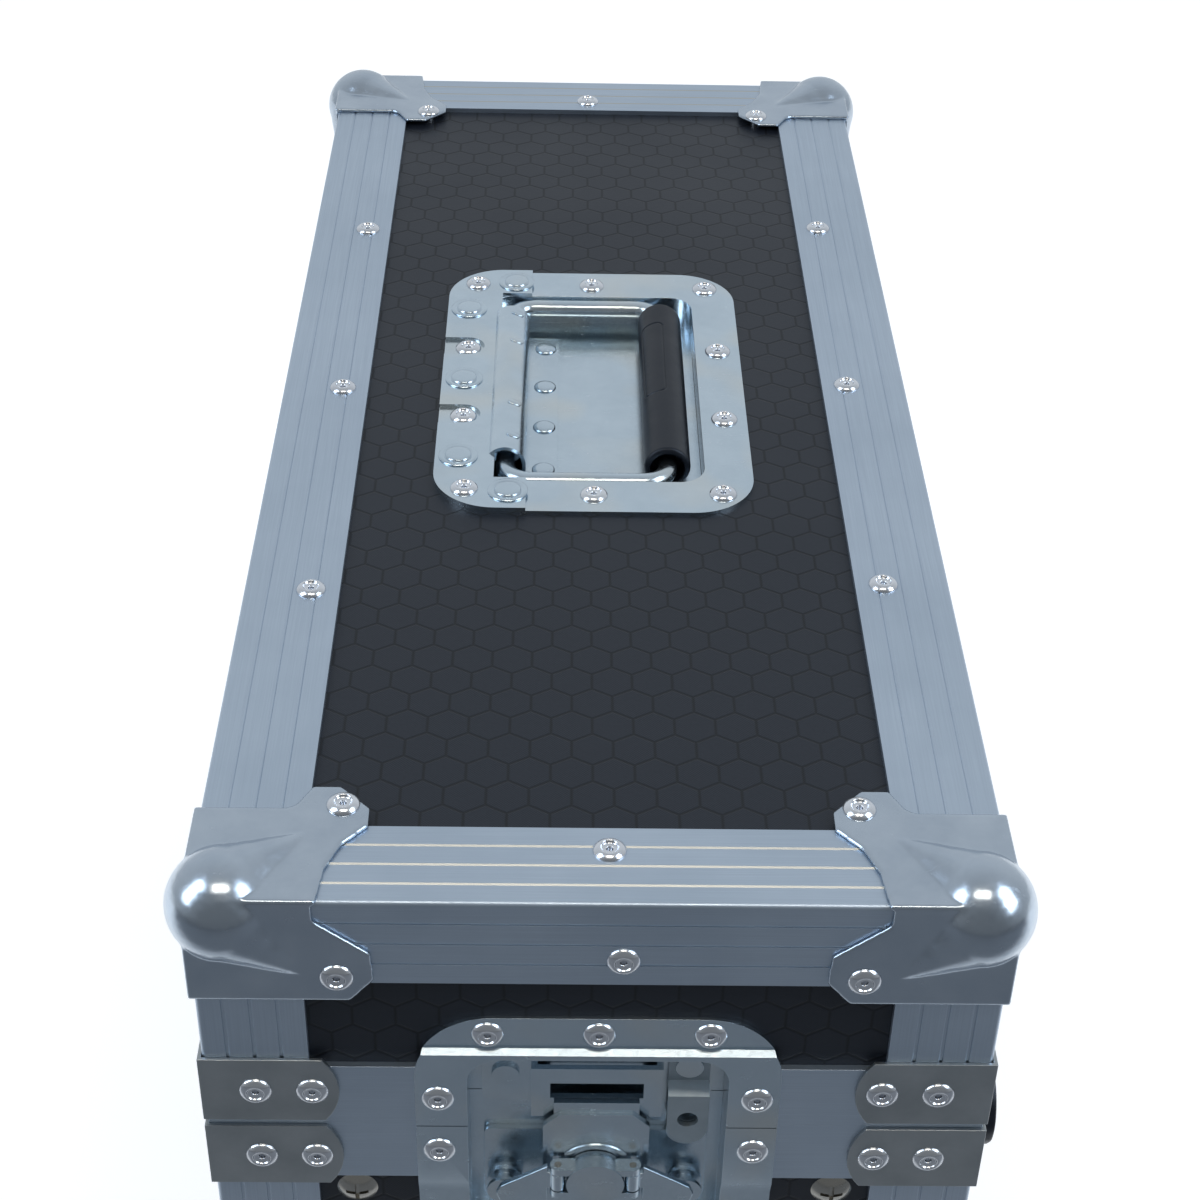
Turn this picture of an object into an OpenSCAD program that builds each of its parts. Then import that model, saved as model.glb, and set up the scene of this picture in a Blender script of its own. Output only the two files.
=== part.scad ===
// Rack case for four units of 19-inch equipment, standing on its back with its lid up.
// Millimetres. X runs across the four units, Y along the 19-inch width, Z up out of the mouth.
// The origin is on the surface that the case stands on, under the middle of its outline.

/* [Case] */
// Outer width over the edge extrusions, along X
case_w = 222; // [210:1:260]
// Outer length over the edge extrusions, along Y
case_l = 526; // [520:1:560]
// Height of the body from its back face to the split line
body_h = 294; // [240:1:420]
// Height of the lid from the split line to its top face
lid_h = 87; // [85:1:120]
// Thickness of the laminated plywood panels
panel_t = 7; // [6:0.5:9]
// Gap between the lid's metalwork and the body's at the split line
split_gap = 0.3; // [0.2:0.1:0.8]

/* [Edge extrusions] */
// Width of each outer face of the angle extrusion
edge_face = 30; // [26:1:34]
// Thickness of its outer legs, which is how far the panels lie below them
edge_leg = 2; // [1.5:0.1:2.5]
// Thickness of its inner legs
edge_inner_leg = 1.5; // [1:0.1:2]
// Reach of the inner legs from the outer corner
edge_inner_reach = 24; // [18:1:26]
// Radius of its outer corner
edge_round = 1.5; // [0.8:0.1:1.9]
// Width of the fine grooves along its faces
groove_w = 0.9; // [0.5:0.1:1.5]
// Depth of the fine grooves
groove_d = 0.4; // [0.2:0.1:0.8]
// Height of the rim extrusion on each side of the split line
rim_h = 23.4; // [20:0.2:26]
// Thickness of the web that closes the rim at the split line
rim_web = 4; // [3.5:0.1:6]
// Width of the body rim's tongue
tongue_w = 2.4; // [1.5:0.1:3]
// Height of the tongue
tongue_h = 2.2; // [1:0.1:2.6]
// Clearance round the tongue in the lid rim's groove
tongue_gap = 0.3; // [0.2:0.1:0.5]

/* [Ball corners and braces] */
// Radius of the ball
ball_r = 15.6; // [14:0.1:18]
// How far the ball stands out of the case's faces
ball_proud = 6.8; // [5:0.1:8]
// Reach of the ball itself along the edges, where the extrusions and plates stop
ball_seat = 12; // [11:0.5:14]
// Reach of the ball corner's plates along the edges
ball_reach = 50; // [46:1:56]
// Thickness of the ball corner's plates
ball_plate = 1.5; // [1:0.1:2]
// Reach of the tapering horns along the plates
horn_reach = 30; // [26:1:32]
// Reach of the tapering horns across the plates
horn_rise = 25; // [22:1:28]
// Radius of a horn's tip
horn_tip_r = 1.6; // [1.5:0.1:2.5]
// Height of a corner brace
brace_h = 24.8; // [20:0.2:26]
// Reach of a corner brace along each side
brace_reach = 38; // [34:1:42]
// Thickness of a corner brace
brace_t = 1.2; // [0.8:0.1:1.6]
// Radius of a corner brace's bowed ends
brace_end_r = 20; // [16:1:30]
// Distance from the split line to the lid's braces
lid_brace_lift = 2.2; // [1:0.1:4]
// Distance from the split line to the body's braces
body_brace_drop = 0.5; // [0.4:0.1:2]

/* [Rivets] */
// Radius of a blind rivet's head
rivet_r = 4.75; // [4:0.05:5.5]
// Height of a blind rivet's head
rivet_head_h = 2; // [1.4:0.1:2.6]
// Radius of the rivet's body
rivet_body_r = 2.1; // [1.6:0.1:2.4]
// Length of the rivet's body under its head
rivet_len = 8; // [6:0.5:9]
// Radius of the hole that the drawn mandrel leaves
mandrel_r = 1.4; // [0.8:0.1:1.6]
// Clearance round the rivets' bodies and the screws
rivet_gap = 0.1; // [0.05:0.05:0.2]
// Distance of the edge rivets from the case's outer corner
rivet_inset = 21; // [16:1:25]
// Spacing of the edge rivets along the long sides
rivet_pitch = 121; // [100:1:130]
// How much further along the right-hand rivets sit
rivet_stagger = 6; // [0:1:10]

/* [Handle] */
// Length of the handle dish along Y
handle_l = 163; // [155:1:175]
// Width of the handle dish along X
handle_w = 108; // [104:1:120]
// Radius of the dish's outer corners
handle_round = 21; // [15:1:26]
// Distance of the dish's middle from the lid's middle, along Y
handle_y = 3.5; // [-10:0.5:10]
// Thickness of the handle's and the latches' pressed sheet
sheet_t = 1.2; // [1:0.1:1.3]
// Radius of the pocket's corners
pocket_round = 9; // [6:0.5:12]
// Height of the bail's axis below the lid's top face
bail_drop = 4; // [3.6:0.1:5]
// Radius of the bail's steel rod
bail_r = 3.25; // [3:0.05:3.5]
// Distance from the pivot axis to the grip's axis
bail_reach = 55.5; // [50:0.5:57]
// Distance between the middles of the bail's arms
bail_l = 118.5; // [114:0.5:118.5]
// Radius of the bail's bends, to the middle of the rod
bail_bend = 9; // [7:0.5:11]
// Radius of the rubber grip
grip_r = 8; // [7:0.1:8.2]
// Length of the rubber grip
grip_l = 101; // [90:1:101]
// Length of the barrel that covers the pivot
barrel_l = 98; // [90:1:99]
// Outer radius of the barrel
barrel_r = 7; // [6.8:0.1:7.2]
// Width of the strap's foot on the pocket's floor
strap_foot = 12; // [10:0.5:14]
// Clearance between the bail's arms and the ends of the pocket
bail_end_gap = 0.75; // [0.5:0.05:1.5]
// Clearance between the grip and the side of the pocket
grip_side_gap = 4.4; // [3:0.1:7]
// Clearance between the handle's moving and fixed parts
handle_gap = 0.3; // [0.2:0.1:0.5]

/* [Latches] */
// Width of the latch dish along X
latch_w = 103.5; // [100:0.5:112]
// Height of the keeper dish above the split line
keeper_dish_h = 42.5; // [40:0.5:46]
// Height of the latch dish below the split line
latch_dish_h = 70; // [68:0.5:78]
// Radius of the dishes' outer corners
latch_round = 22; // [14:1:26]
// Width of the latch pocket
latch_pocket_w = 74; // [70:0.5:78]
// Height of the pocket above the split line
keeper_pocket_h = 27.7; // [26:0.1:28.5]
// Height of the pocket below the split line
latch_pocket_h = 58; // [57.5:0.5:62]
// Depth of the pocket below the dish's outer face
latch_depth = 14; // [13:0.1:15]
// Depth of the axis of the cam below the split line
cam_drop = 26; // [25:0.5:28]
// Radius of the cam's round head
cam_head_r = 8.5; // [7.5:0.1:8.8]
// Radius of the eccentric that lifts the claw
eccentric_r = 8; // [7:0.1:8.5]
// Offset of the eccentric from the cam's axis
eccentric_offset = 3; // [2:0.1:3.2]
// Radius of the cam's shaft
cam_shaft_r = 4; // [3:0.1:4.5]
// Running clearance round the shaft and the wings' pins
running_gap = 0.05; // [0.02:0.01:0.1]
// Reach of the butterfly wings from the cam's axis
wing_reach = 30; // [26:0.5:30.5]
// Thickness of the wings
wing_t = 1.6; // [1.2:0.1:1.8]
// Radius of the wings' hinge pins
wing_pin_r = 1.1; // [0.8:0.05:1.3]
// Distance of the wings' pins from the cam's axis
wing_pin_x = 11; // [10.8:0.1:12]
// Width of the claw
claw_w = 31; // [29:0.5:33]
// Thickness of the claw, the keeper and the hasp tabs
claw_t = 1.8; // [1.4:0.1:2]
// Width of the keeper
keeper_w = 38; // [36:0.5:40]
// Width of a hasp tab
hasp_w = 12; // [11:0.1:12.5]
// Radius of the hasp tabs' padlock hole
hasp_hole_r = 3; // [2.5:0.1:3.4]

/* [Rack rails] */
// Number of rack units
rack_units = 4; // [3:1:4]
// Height of one rack unit
rack_unit = 44.45; // [44.45]
// Distance of the rows of rack holes from the rails' fixing faces, which puts them 465.1 apart
rail_hole_in = 13.45; // [13.45]
// Radius of the rack holes, clear for M6
rack_hole_r = 3.3; // [3:0.05:3.5]
// Depth of the rack face below the split line
rail_drop = 17; // [15:1:24]
// Width of the rack face
rail_face = 21; // [20:0.5:21]
// Depth of the rail's fixing leg
rail_leg = 30; // [26:1:40]
// Thickness of the rail
rail_t = 2; // [1.5:0.1:3]
// Thickness of the spacers behind the rails
spacer_t = 8; // [7.8:0.1:8.2]
// Radius of the rail screws' heads
screw_head_r = 6; // [5:0.1:7]

/* [Feet] */
// Radius of a rubber foot where it meets the panel
foot_r = 16.5; // [14:0.5:19]
// Height of a rubber foot
foot_h = 16; // [12:0.5:20]
// Distance of the feet from the case's ends
foot_inset = 48; // [44:1:70]
// Distance of the upper feet below the split line
foot_drop = 42; // [41:1:60]
// Distance of the lower feet above the body's back face
foot_rise = 58; // [56:1:80]

/* [Hidden] */
$fn = 48;

over = 1;               // overrun of every cut
base_z = ball_proud;    // the balls stand on the floor
split_z = base_z + body_h;
top_z = split_z + lid_h;
panel_in = edge_leg + panel_t;            // depth of a panel's inner face
edge_web = panel_in + edge_inner_leg;     // side of the extrusion's closed corner
seat_depth = edge_leg - sheet_t;          // depth of the outer face of sheet lying on a panel
pocket_l = bail_l + 2 * (bail_r + bail_end_gap);  // length of the handle's pocket
pocket_w = barrel_r + sheet_t / 2 + bail_reach + grip_r + grip_side_gap;
frame_x = -(foot_h - edge_leg - ball_proud) / 2;  // puts the origin under the outline's middle

metal = [0.66, 0.71, 0.77];
zinc = [0.62, 0.66, 0.72];
brace_zinc = [0.42, 0.45, 0.43];
laminate = [0.16, 0.17, 0.19];
rubber = [0.06, 0.06, 0.07];
nickel = [0.5, 0.49, 0.46];

// Rivet and screw places

// A site is [face, place along the face's first axis, along its second, depth of its seat below the face]
lid_rivet_z = split_z + lid_brace_lift + brace_h / 2;
body_rivet_z = split_z - body_brace_drop - brace_h / 2;
brace_rivet_insets = [brace_reach * 0.38, brace_reach * 0.8];
ball_ear_u = ball_reach * 0.79;
ball_ear_v = ball_reach * 0.74;
ball_ear_w = ball_reach * 0.53;
signs = [-1, 1];

function edge_sites(z, long) = concat(
  [for (i = [-1, 0, 1]) ["left", i * rivet_pitch, z, 0]],
  [for (i = [-1, 0, 1]) ["right", i * rivet_pitch + rivet_stagger, z, 0]],
  [for (face = ["front", "rear"]) [face, long, z, 0]]
);
function flat_sites(face) = concat(
  [for (i = [-1, 0, 1]) [face, -case_w / 2 + rivet_inset, i * rivet_pitch - rivet_stagger / 2, 0]],
  [for (i = [-1, 0, 1]) [face, case_w / 2 - rivet_inset, i * rivet_pitch + rivet_stagger / 2, 0]],
  [for (s = signs) [face, -s * rivet_stagger / 3, s * (case_l / 2 - rivet_inset), 0]]
);
function ball_sites(face, z) = concat(
  [for (s = signs, t = signs)
    [face, s * (case_w / 2 - ball_ear_u), t * (case_l / 2 - ball_ear_v), -ball_plate]],
  [for (end = ["front", "rear"], s = signs) [end, s * (case_w / 2 - ball_ear_u), z, -ball_plate]],
  [for (side = ["left", "right"], s = signs) [side, s * (case_l / 2 - ball_ear_u), z, -ball_plate]]
);
function brace_sites(z) = concat(
  [for (end = ["front", "rear"], s = signs, inset = brace_rivet_insets)
    [end, s * (case_w / 2 - inset), z, -brace_t]],
  [for (side = ["left", "right"], s = signs, inset = brace_rivet_insets)
    [side, s * (case_l / 2 - inset), z, -brace_t]]
);

// Places on a dish are shares: up to 1 of its pocket's half size, and past 1 also of its flange's width
function dish_place(share, pocket, dish) =
  abs(share) < 1 ? share * pocket : sign(share) * (pocket + (abs(share) - 1) * (dish - pocket));
function handle_place(shares) = [dish_place(shares[0], pocket_w / 2, handle_w / 2),
                                 dish_place(shares[1], pocket_l / 2, handle_l / 2)];

handle_rivet_shares = [
  [-1.34, 1.38], [-1.34, -1.38], [0, 1.46], [0, -1.46], [1.34, 1.38], [1.34, -1.38],
  [1.51, 0.37], [1.51, -0.37], [-1.47, 0.37], [-1.47, -0.37]
];
handle_x = -sheet_t;
handle_sites = [for (p = handle_rivet_shares)
  ["top", handle_x + handle_place(p)[0], handle_y + handle_place(p)[1],
   p[0] < -1 && abs(p[1]) > 1 ? seat_depth - sheet_t : seat_depth]];

// Rivets of the latch dishes, across and up or down from the split line
keeper_dish_shares = [[-0.84, 1.57], [0, 1.57], [0.84, 1.57], [-1.56, 0.43], [1.56, 0.43]];
latch_dish_shares = [[-0.84, 1.45], [0, 1.45], [0.84, 1.45], [-1.56, 0.175], [1.56, 0.175]];
function dish_sites(shares, way, pocket_h, dish_h) = [for (end = ["front", "rear"], p = shares)
  [end, dish_place(p[0], latch_pocket_w / 2, latch_w / 2),
   split_z + way * dish_place(p[1], pocket_h, dish_h), p[1] > 1 ? seat_depth : -sheet_t]];

lid_sites = concat(
  flat_sites("top"), edge_sites(top_z - rivet_inset, rivet_stagger),
  ball_sites("top", top_z - ball_ear_w), brace_sites(lid_rivet_z),
  handle_sites, dish_sites(keeper_dish_shares, 1, keeper_pocket_h, keeper_dish_h)
);
body_sites = concat(
  flat_sites("base"), edge_sites(base_z + rivet_inset, rivet_stagger),
  ball_sites("base", base_z + ball_ear_w), brace_sites(body_rivet_z),
  dish_sites(latch_dish_shares, -1, latch_pocket_h, latch_dish_h)
);

module place(site) {
  a = site[1];
  b = site[2];
  d = site[3];
  if (site[0] == "top") translate([a, b, top_z - d]) children();
  if (site[0] == "base") translate([a, b, base_z + d]) rotate([180, 0, 0]) children();
  if (site[0] == "front") translate([a, -case_l / 2 + d, b]) rotate([90, 0, 0]) children();
  if (site[0] == "rear") translate([a, case_l / 2 - d, b]) rotate([-90, 0, 0]) children();
  if (site[0] == "left") translate([-case_w / 2 + d, a, b]) rotate([0, -90, 0]) children();
  if (site[0] == "right") translate([case_w / 2 - d, a, b]) rotate([0, 90, 0]) children();
}

module disc(r, h) {
  cylinder(r = r, h = h);
}

// A blind rivet with its head on z = 0
module rivet() {
  dome = (rivet_r * rivet_r + rivet_head_h * rivet_head_h) / (2 * rivet_head_h);
  difference() {
    union() {
      intersection() {
        translate([0, 0, rivet_head_h - dome]) sphere(r = dome);
        disc(rivet_r, rivet_head_h);
      }
      translate([0, 0, -rivet_len]) disc(rivet_body_r, rivet_len + rivet_head_h / 4);
    }
    translate([0, 0, rivet_head_h / 4]) disc(mandrel_r, rivet_head_h);
  }
}

module rivets(sites) {
  for (site = sites) place(site) rivet();
}

// Bores for the rivets' bodies, through all that the rivets hold
module rivet_bores(sites) {
  depth = rivet_len + rivet_gap;
  for (site = sites) place(site) translate([0, 0, -depth]) disc(rivet_body_r + rivet_gap, depth + over);
}

// Panels and extrusions

// A mitred length of the angle extrusion, from -l/2 to l/2 along X, its outer corner on the X axis
module edge_profile() {
  difference() {
    union() {
      difference() {
        square([edge_face, edge_leg]);
        square(edge_round);
      }
      difference() {
        square([edge_leg, edge_face]);
        square(edge_round);
      }
      intersection() {
        translate([edge_round, edge_round]) circle(r = edge_round);
        square(edge_round);
      }
      difference() {
        square(edge_web);
        translate([edge_leg, edge_leg]) square(panel_t);
        square(edge_leg);
      }
      translate([panel_in, panel_in]) square([edge_inner_reach - panel_in, edge_inner_leg]);
      translate([panel_in, panel_in]) square([edge_inner_leg, edge_inner_reach - panel_in]);
    }
    for (i = [1, 2, 3]) {
      at = i * edge_face / 4 - groove_w / 2;
      translate([at, -over]) square([groove_w, groove_d + over]);
      translate([-over, at]) square([groove_d + over, groove_w]);
    }
  }
}

module mitred(l) {
  difference() {
    rotate([90, 0, 90]) translate([0, 0, -l / 2]) linear_extrude(height = l) children();
    for (s = signs) translate([s * l / 2, 0, -edge_face])
      rotate([0, 0, s * 45]) translate([s > 0 ? 0 : -l, -l, -l]) cube([l, 2 * l, 3 * l]);
  }
}

// Long straight piece standing along Z, its outer corner on the Z axis
module upright(h) {
  linear_extrude(height = h) edge_profile();
}

// Turns a piece drawn along the front edge to each of the four sides
module ring_sides() {
  for (s = signs) rotate([0, 0, s > 0 ? 180 : 0]) translate([0, -case_l / 2, 0]) children(0);
  for (s = signs) rotate([0, 0, s * 90]) translate([0, -case_w / 2, 0]) children(1);
}

// Draws at each of the four corners, with X and Y pointing into the case
module at_corners() {
  for (x = signs, y = signs)
    translate([x * case_w / 2, y * case_l / 2, 0])
      mirror([x > 0 ? 1 : 0, 0, 0]) mirror([0, y > 0 ? 1 : 0, 0]) children();
}

// Draws at the front end or the rear end, with Z from the split line and Y into the case
module at_end(rear) {
  translate([0, 0, split_z]) rotate([0, 0, rear ? 180 : 0]) translate([0, -case_l / 2, 0]) children();
}

module lid_top_edges() {
  color(metal) difference() {
    translate([0, 0, top_z]) mirror([0, 0, 1]) ring_sides() {
      mitred(case_w) edge_profile();
      mitred(case_l) edge_profile();
    }
    translate([0, 0, top_z]) mirror([0, 0, 1]) at_corners() corner_seat();
    rivet_bores(lid_sites);
  }
}

module body_base_edges() {
  color(metal) difference() {
    translate([0, 0, base_z]) ring_sides() {
      mitred(case_w) edge_profile();
      mitred(case_l) edge_profile();
    }
    translate([0, 0, base_z]) at_corners() corner_seat();
    rivet_bores(body_sites);
  }
}

module lid_corner_edges() {
  color(metal) difference() {
    translate([0, 0, split_z + rim_h]) at_corners() upright(lid_h - rim_h - edge_face);
    rivet_bores(lid_sites);
  }
}

module body_corner_edges() {
  color(metal) difference() {
    translate([0, 0, base_z + edge_face]) at_corners() upright(body_h - rim_h - edge_face);
    rivet_bores(body_sites);
  }
}

// Rim, drawn upwards from the split line, with its outer face on Y = 0
module rim_profile() {
  difference() {
    square([edge_web, rim_h]);
    translate([edge_leg, rim_web]) square([panel_t, rim_h]);
  }
}
tongue_y = edge_leg + panel_t / 2;

module rim_groove() {
  w = tongue_w + 2 * tongue_gap;
  translate([tongue_y - w / 2, -over]) square([w, tongue_h + tongue_gap + over]);
}

// The rim's four mitred lengths, cut away where the latch dishes pass through it
module rim_ring() {
  difference() {
    ring_sides() {
      mitred(case_w) children();
      mitred(case_l) children();
    }
    gap = latch_pocket_w + 2 * sheet_t + 2 * split_gap;
    for (s = signs) translate([-gap / 2, s * case_l / 2 - edge_face, -2 * rim_h])
      cube([gap, 2 * edge_face, 4 * rim_h]);
  }
}

module lid_rim() {
  color(metal) difference() {
    translate([0, 0, split_z]) rim_ring() difference() {
      rim_profile();
      rim_groove();
    }
    rivet_bores(lid_sites);
  }
}

module body_rim() {
  color(metal) difference() {
    translate([0, 0, split_z]) rim_ring() {
      mirror([0, 1, 0]) rim_profile();
      translate([tongue_y - tongue_w / 2, -rim_web / 2]) square([tongue_w, rim_web / 2 + tongue_h]);
    }
    rivet_bores(body_sites);
  }
}

panel_w = case_w - 2 * edge_web;
panel_l = case_l - 2 * edge_web;
lid_panel_z = split_z + rim_web;
lid_panel_h = lid_h - rim_web - edge_web;
body_panel_z = base_z + edge_web;
body_panel_h = body_h - rim_web - edge_web;

// Hole through an end panel for a latch pocket of this height, open at the split line
module pocket_window(h) {
  w = latch_pocket_w + 2 * sheet_t + 2 * split_gap;
  translate([-w / 2, -over, -rim_h]) cube([w, panel_in + 2 * over, rim_h + h + sheet_t + split_gap]);
}

module end_panel(z, h) {
  translate([-panel_w / 2, edge_leg, z - split_z]) cube([panel_w, panel_t, h]);
}

module lid_end_panel(rear) {
  color(laminate) difference() {
    at_end(rear) difference() {
      end_panel(lid_panel_z, lid_panel_h);
      pocket_window(keeper_pocket_h);
    }
    rivet_bores(lid_sites);
  }
}

module body_end_panel(rear) {
  color(laminate) difference() {
    at_end(rear) difference() {
      end_panel(body_panel_z, body_panel_h);
      mirror([0, 0, 1]) pocket_window(latch_pocket_h);
    }
    rivet_bores(body_sites);
    rail_screw_bores();
  }
}

module side_panel(side, z, h) {
  x = side * (case_w / 2 - edge_leg - panel_t / 2);
  translate([x - panel_t / 2, -panel_l / 2, z]) cube([panel_t, panel_l, h]);
}

module lid_left_panel() {
  color(laminate) difference() {
    side_panel(-1, lid_panel_z, lid_panel_h);
    rivet_bores(lid_sites);
  }
}

module lid_right_panel() {
  color(laminate) difference() {
    side_panel(1, lid_panel_z, lid_panel_h);
    rivet_bores(lid_sites);
  }
}

module body_left_panel() {
  color(laminate) difference() {
    side_panel(-1, body_panel_z, body_panel_h);
    rivet_bores(body_sites);
  }
}

module body_right_panel() {
  color(laminate) difference() {
    side_panel(1, body_panel_z, body_panel_h);
    rivet_bores(body_sites);
    foot_screw_bores();
  }
}

module body_base_panel() {
  color(laminate) difference() {
    translate([-panel_w / 2, -panel_l / 2, base_z + edge_leg]) cube([panel_w, panel_l, panel_t]);
    rivet_bores(body_sites);
  }
}

module lid_top_panel() {
  color(laminate) difference() {
    translate([-panel_w / 2, -panel_l / 2, top_z - panel_in]) cube([panel_w, panel_l, panel_t]);
    at_handle() translate([0, 0, -panel_in - over])
      rounded_slab(pocket_w + 2 * sheet_t + 2 * split_gap, pocket_l + 2 * sheet_t + 2 * split_gap,
                   pocket_round + sheet_t + split_gap, panel_in + 2 * over);
    rivet_bores(lid_sites);
  }
}

// A slab with round corners, centred on the Z axis
module rounded_slab(w, l, r, h) {
  linear_extrude(height = h) rounded_plate(w, l, r);
}

module rounded_plate(w, l, r) {
  square([w - 2 * r, l], center = true);
  square([w, l - 2 * r], center = true);
  for (x = signs, y = signs) translate([x * (w / 2 - r), y * (l / 2 - r)]) circle(r = r);
}

// Ball corners and braces

// Outlines of the ball corner's plates, as shares of its reach from the corner
flat_plate_shares = [
  [0.7, 0], [0.73, 0.24], [0.8, 0.42], [0.94, 0.58], [0.94, 0.72],
  [0.77, 0.9], [0.61, 0.9], [0.53, 0.75], [0.48, 0.72], [0, 0.72]
];
side_plate_shares = [[0.68, 0], [0.68, 0.12], [0.98, 0.36], [0.99, 0.56], [0.86, 0.714], [0, 0.714]];

function plate_place(share) = share == 0 ? -ball_plate : share * ball_reach;

module ball_plate_outline(shares) {
  polygon(concat([[-ball_plate, -ball_plate]], [for (p = shares) [plate_place(p[0]), plate_place(p[1])]]));
}

// A cone that leaves the ball smoothly and narrows to its tip on the plates
module horn(tip) {
  from = ball_r - ball_proud;
  d = tip - [from, from, from];
  length = norm(d);
  root_r = ball_r * 0.98;
  slope = asin((root_r - horn_tip_r) / length);
  start = root_r * sin(slope);
  end = length + horn_tip_r * sin(slope);
  translate([from, from, from])
    rotate([0, acos(d[2] / length), atan2(d[1], d[0])]) translate([0, 0, start])
      cylinder(r1 = root_r * cos(slope), r2 = horn_tip_r * cos(slope), h = end - start);
}

// Drawn at a corner, with all three axes pointing into the case
module ball_corner() {
  from = ball_r - ball_proud;
  difference() {
    union() {
      difference() {
        union() {
          translate([0, 0, -ball_plate]) linear_extrude(height = ball_plate)
            ball_plate_outline(flat_plate_shares);
          for (turn = [0, 1]) mirror([turn, -turn, 0]) rotate([90, 0, 0])
            linear_extrude(height = ball_plate) ball_plate_outline(side_plate_shares);
        }
        corner_seat();
      }
      translate([from, from, from]) sphere(r = ball_r);
      horn([horn_reach, horn_rise, 0]);
      horn([horn_reach, 0, horn_rise]);
      horn([0, horn_reach, horn_rise]);
    }
    translate([from, from, from]) sphere(r = ball_r - ball_plate);
    for (turn = [[1, 0, 0], [0, 1, 0], [0, 0, 1]]) translate(turn * ball_seat) cube(2 * ball_reach);
  }
}

// The room at a corner of the case that only the ball fills
module corner_seat() {
  translate([-ball_reach, -ball_reach, -ball_reach]) cube(ball_reach + ball_seat);
}

module lid_ball_corners() {
  color(zinc) difference() {
    translate([0, 0, top_z]) mirror([0, 0, 1]) at_corners() ball_corner();
    rivet_bores(lid_sites);
  }
}

module body_ball_corners() {
  color(zinc) difference() {
    translate([0, 0, base_z]) at_corners() ball_corner();
    rivet_bores(body_sites);
  }
}

module brace_side() {
  intersection() {
    translate([-brace_t, -brace_t, 0]) cube([brace_reach + brace_t, brace_t, brace_h]);
    rotate([-90, 0, 0]) translate([brace_reach - brace_end_r, -brace_h / 2, -2 * brace_t]) union() {
      disc(brace_end_r, 3 * brace_t);
      translate([-2 * brace_reach, -brace_h, 0]) cube([2 * brace_reach, 2 * brace_h, 3 * brace_t]);
    }
  }
}

module corner_brace() {
  brace_side();
  mirror([1, -1, 0]) brace_side();
}

module lid_corner_braces() {
  color(brace_zinc) difference() {
    translate([0, 0, split_z + lid_brace_lift]) at_corners() corner_brace();
    rivet_bores(lid_sites);
  }
}

module body_corner_braces() {
  color(brace_zinc) difference() {
    translate([0, 0, split_z - body_brace_drop - brace_h]) at_corners() corner_brace();
    rivet_bores(body_sites);
  }
}

module lid_rivets() {
  color(zinc) rivets(lid_sites);
}

module body_rivets() {
  color(zinc) rivets(body_sites);
}

// Handle, drawn from the dish's middle at the lid's top face

pivot_x = -pocket_w / 2 + barrel_r + sheet_t / 2;
pivot_z = -bail_drop;
pocket_floor_z = pivot_z - grip_r - handle_gap;
strap_w = handle_w * 0.29;
notch_r = rivet_r + sheet_t;
low_rivet_r = grip_r / 2;
big_rivet_r = 6.75;
fix_r = big_rivet_r * 0.4;

module at_handle() {
  translate([handle_x, handle_y, top_z]) children();
}

module handle_dish() {
  color(zinc) difference() {
    at_handle() difference() {
      union() {
        translate([0, 0, -edge_leg]) rounded_slab(handle_w, handle_l, handle_round, sheet_t);
        translate([0, 0, pocket_floor_z - sheet_t])
          rounded_slab(pocket_w + 2 * sheet_t, pocket_l + 2 * sheet_t, pocket_round + sheet_t,
                       -edge_leg - pocket_floor_z + 2 * sheet_t);
      }
      translate([0, 0, pocket_floor_z])
        rounded_slab(pocket_w, pocket_l, pocket_round, -pocket_floor_z + over);
      fixing_bores();
    }
    rivet_bores(handle_sites);
  }
}

// Solid rivets that hold the strap's flange, and those of its foot along the barrel
big_rivet_shares = [[-0.76, 1.455], [-0.76, -1.455], [-1.51, 0.8], [-1.51, 0], [-1.51, -0.8]];
low_rivet_shares = [-0.42, -0.14, 0.14, 0.42];
low_rivet_x = pivot_x + barrel_r + strap_foot / 2;

module at_big_rivets() {
  for (p = big_rivet_shares) translate(concat(handle_place(p), sheet_t - seat_depth)) children();
}

module at_low_rivets() {
  for (p = low_rivet_shares) translate([low_rivet_x, p * barrel_l, pocket_floor_z + sheet_t]) children();
}

module fixing_bores() {
  deep = 2 * sheet_t + over;
  at_big_rivets() translate([0, 0, -deep]) disc(fix_r + rivet_gap, deep + over);
  at_low_rivets() translate([0, 0, -deep]) disc(fix_r + rivet_gap, deep + over);
}

module solid_rivet(r, inner_share) {
  translate([0, 0, -2 * sheet_t]) disc(fix_r, 2 * sheet_t);
  disc(r, sheet_t * 0.6);
  disc(r * inner_share, sheet_t);
}

module handle_rivets() {
  color(zinc) at_handle() {
    at_big_rivets() solid_rivet(big_rivet_r, 0.63);
    at_low_rivets() solid_rivet(low_rivet_r, 0.8);
  }
}

// Section of the barrel across the pivot axis
module barrel_profile() {
  flange_z = bail_drop - seat_depth;
  foot_z = pocket_floor_z - pivot_z;
  inner_r = barrel_r - sheet_t;
  difference() {
    circle(r = barrel_r);
    circle(r = inner_r);
    translate([-barrel_r - over, -barrel_r - over]) square([2 * barrel_r + 2 * over, barrel_r + over]);
    translate([-barrel_r - over, -over]) square([barrel_r + over, flange_z + over]);
  }
  translate([inner_r, foot_z]) square([sheet_t, -foot_z]);
  translate([inner_r, foot_z]) square([strap_foot, sheet_t]);
  difference() {
    translate([-barrel_r - sheet_t, flange_z]) square([barrel_r, sheet_t]);
    circle(r = inner_r);
  }
}

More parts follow.
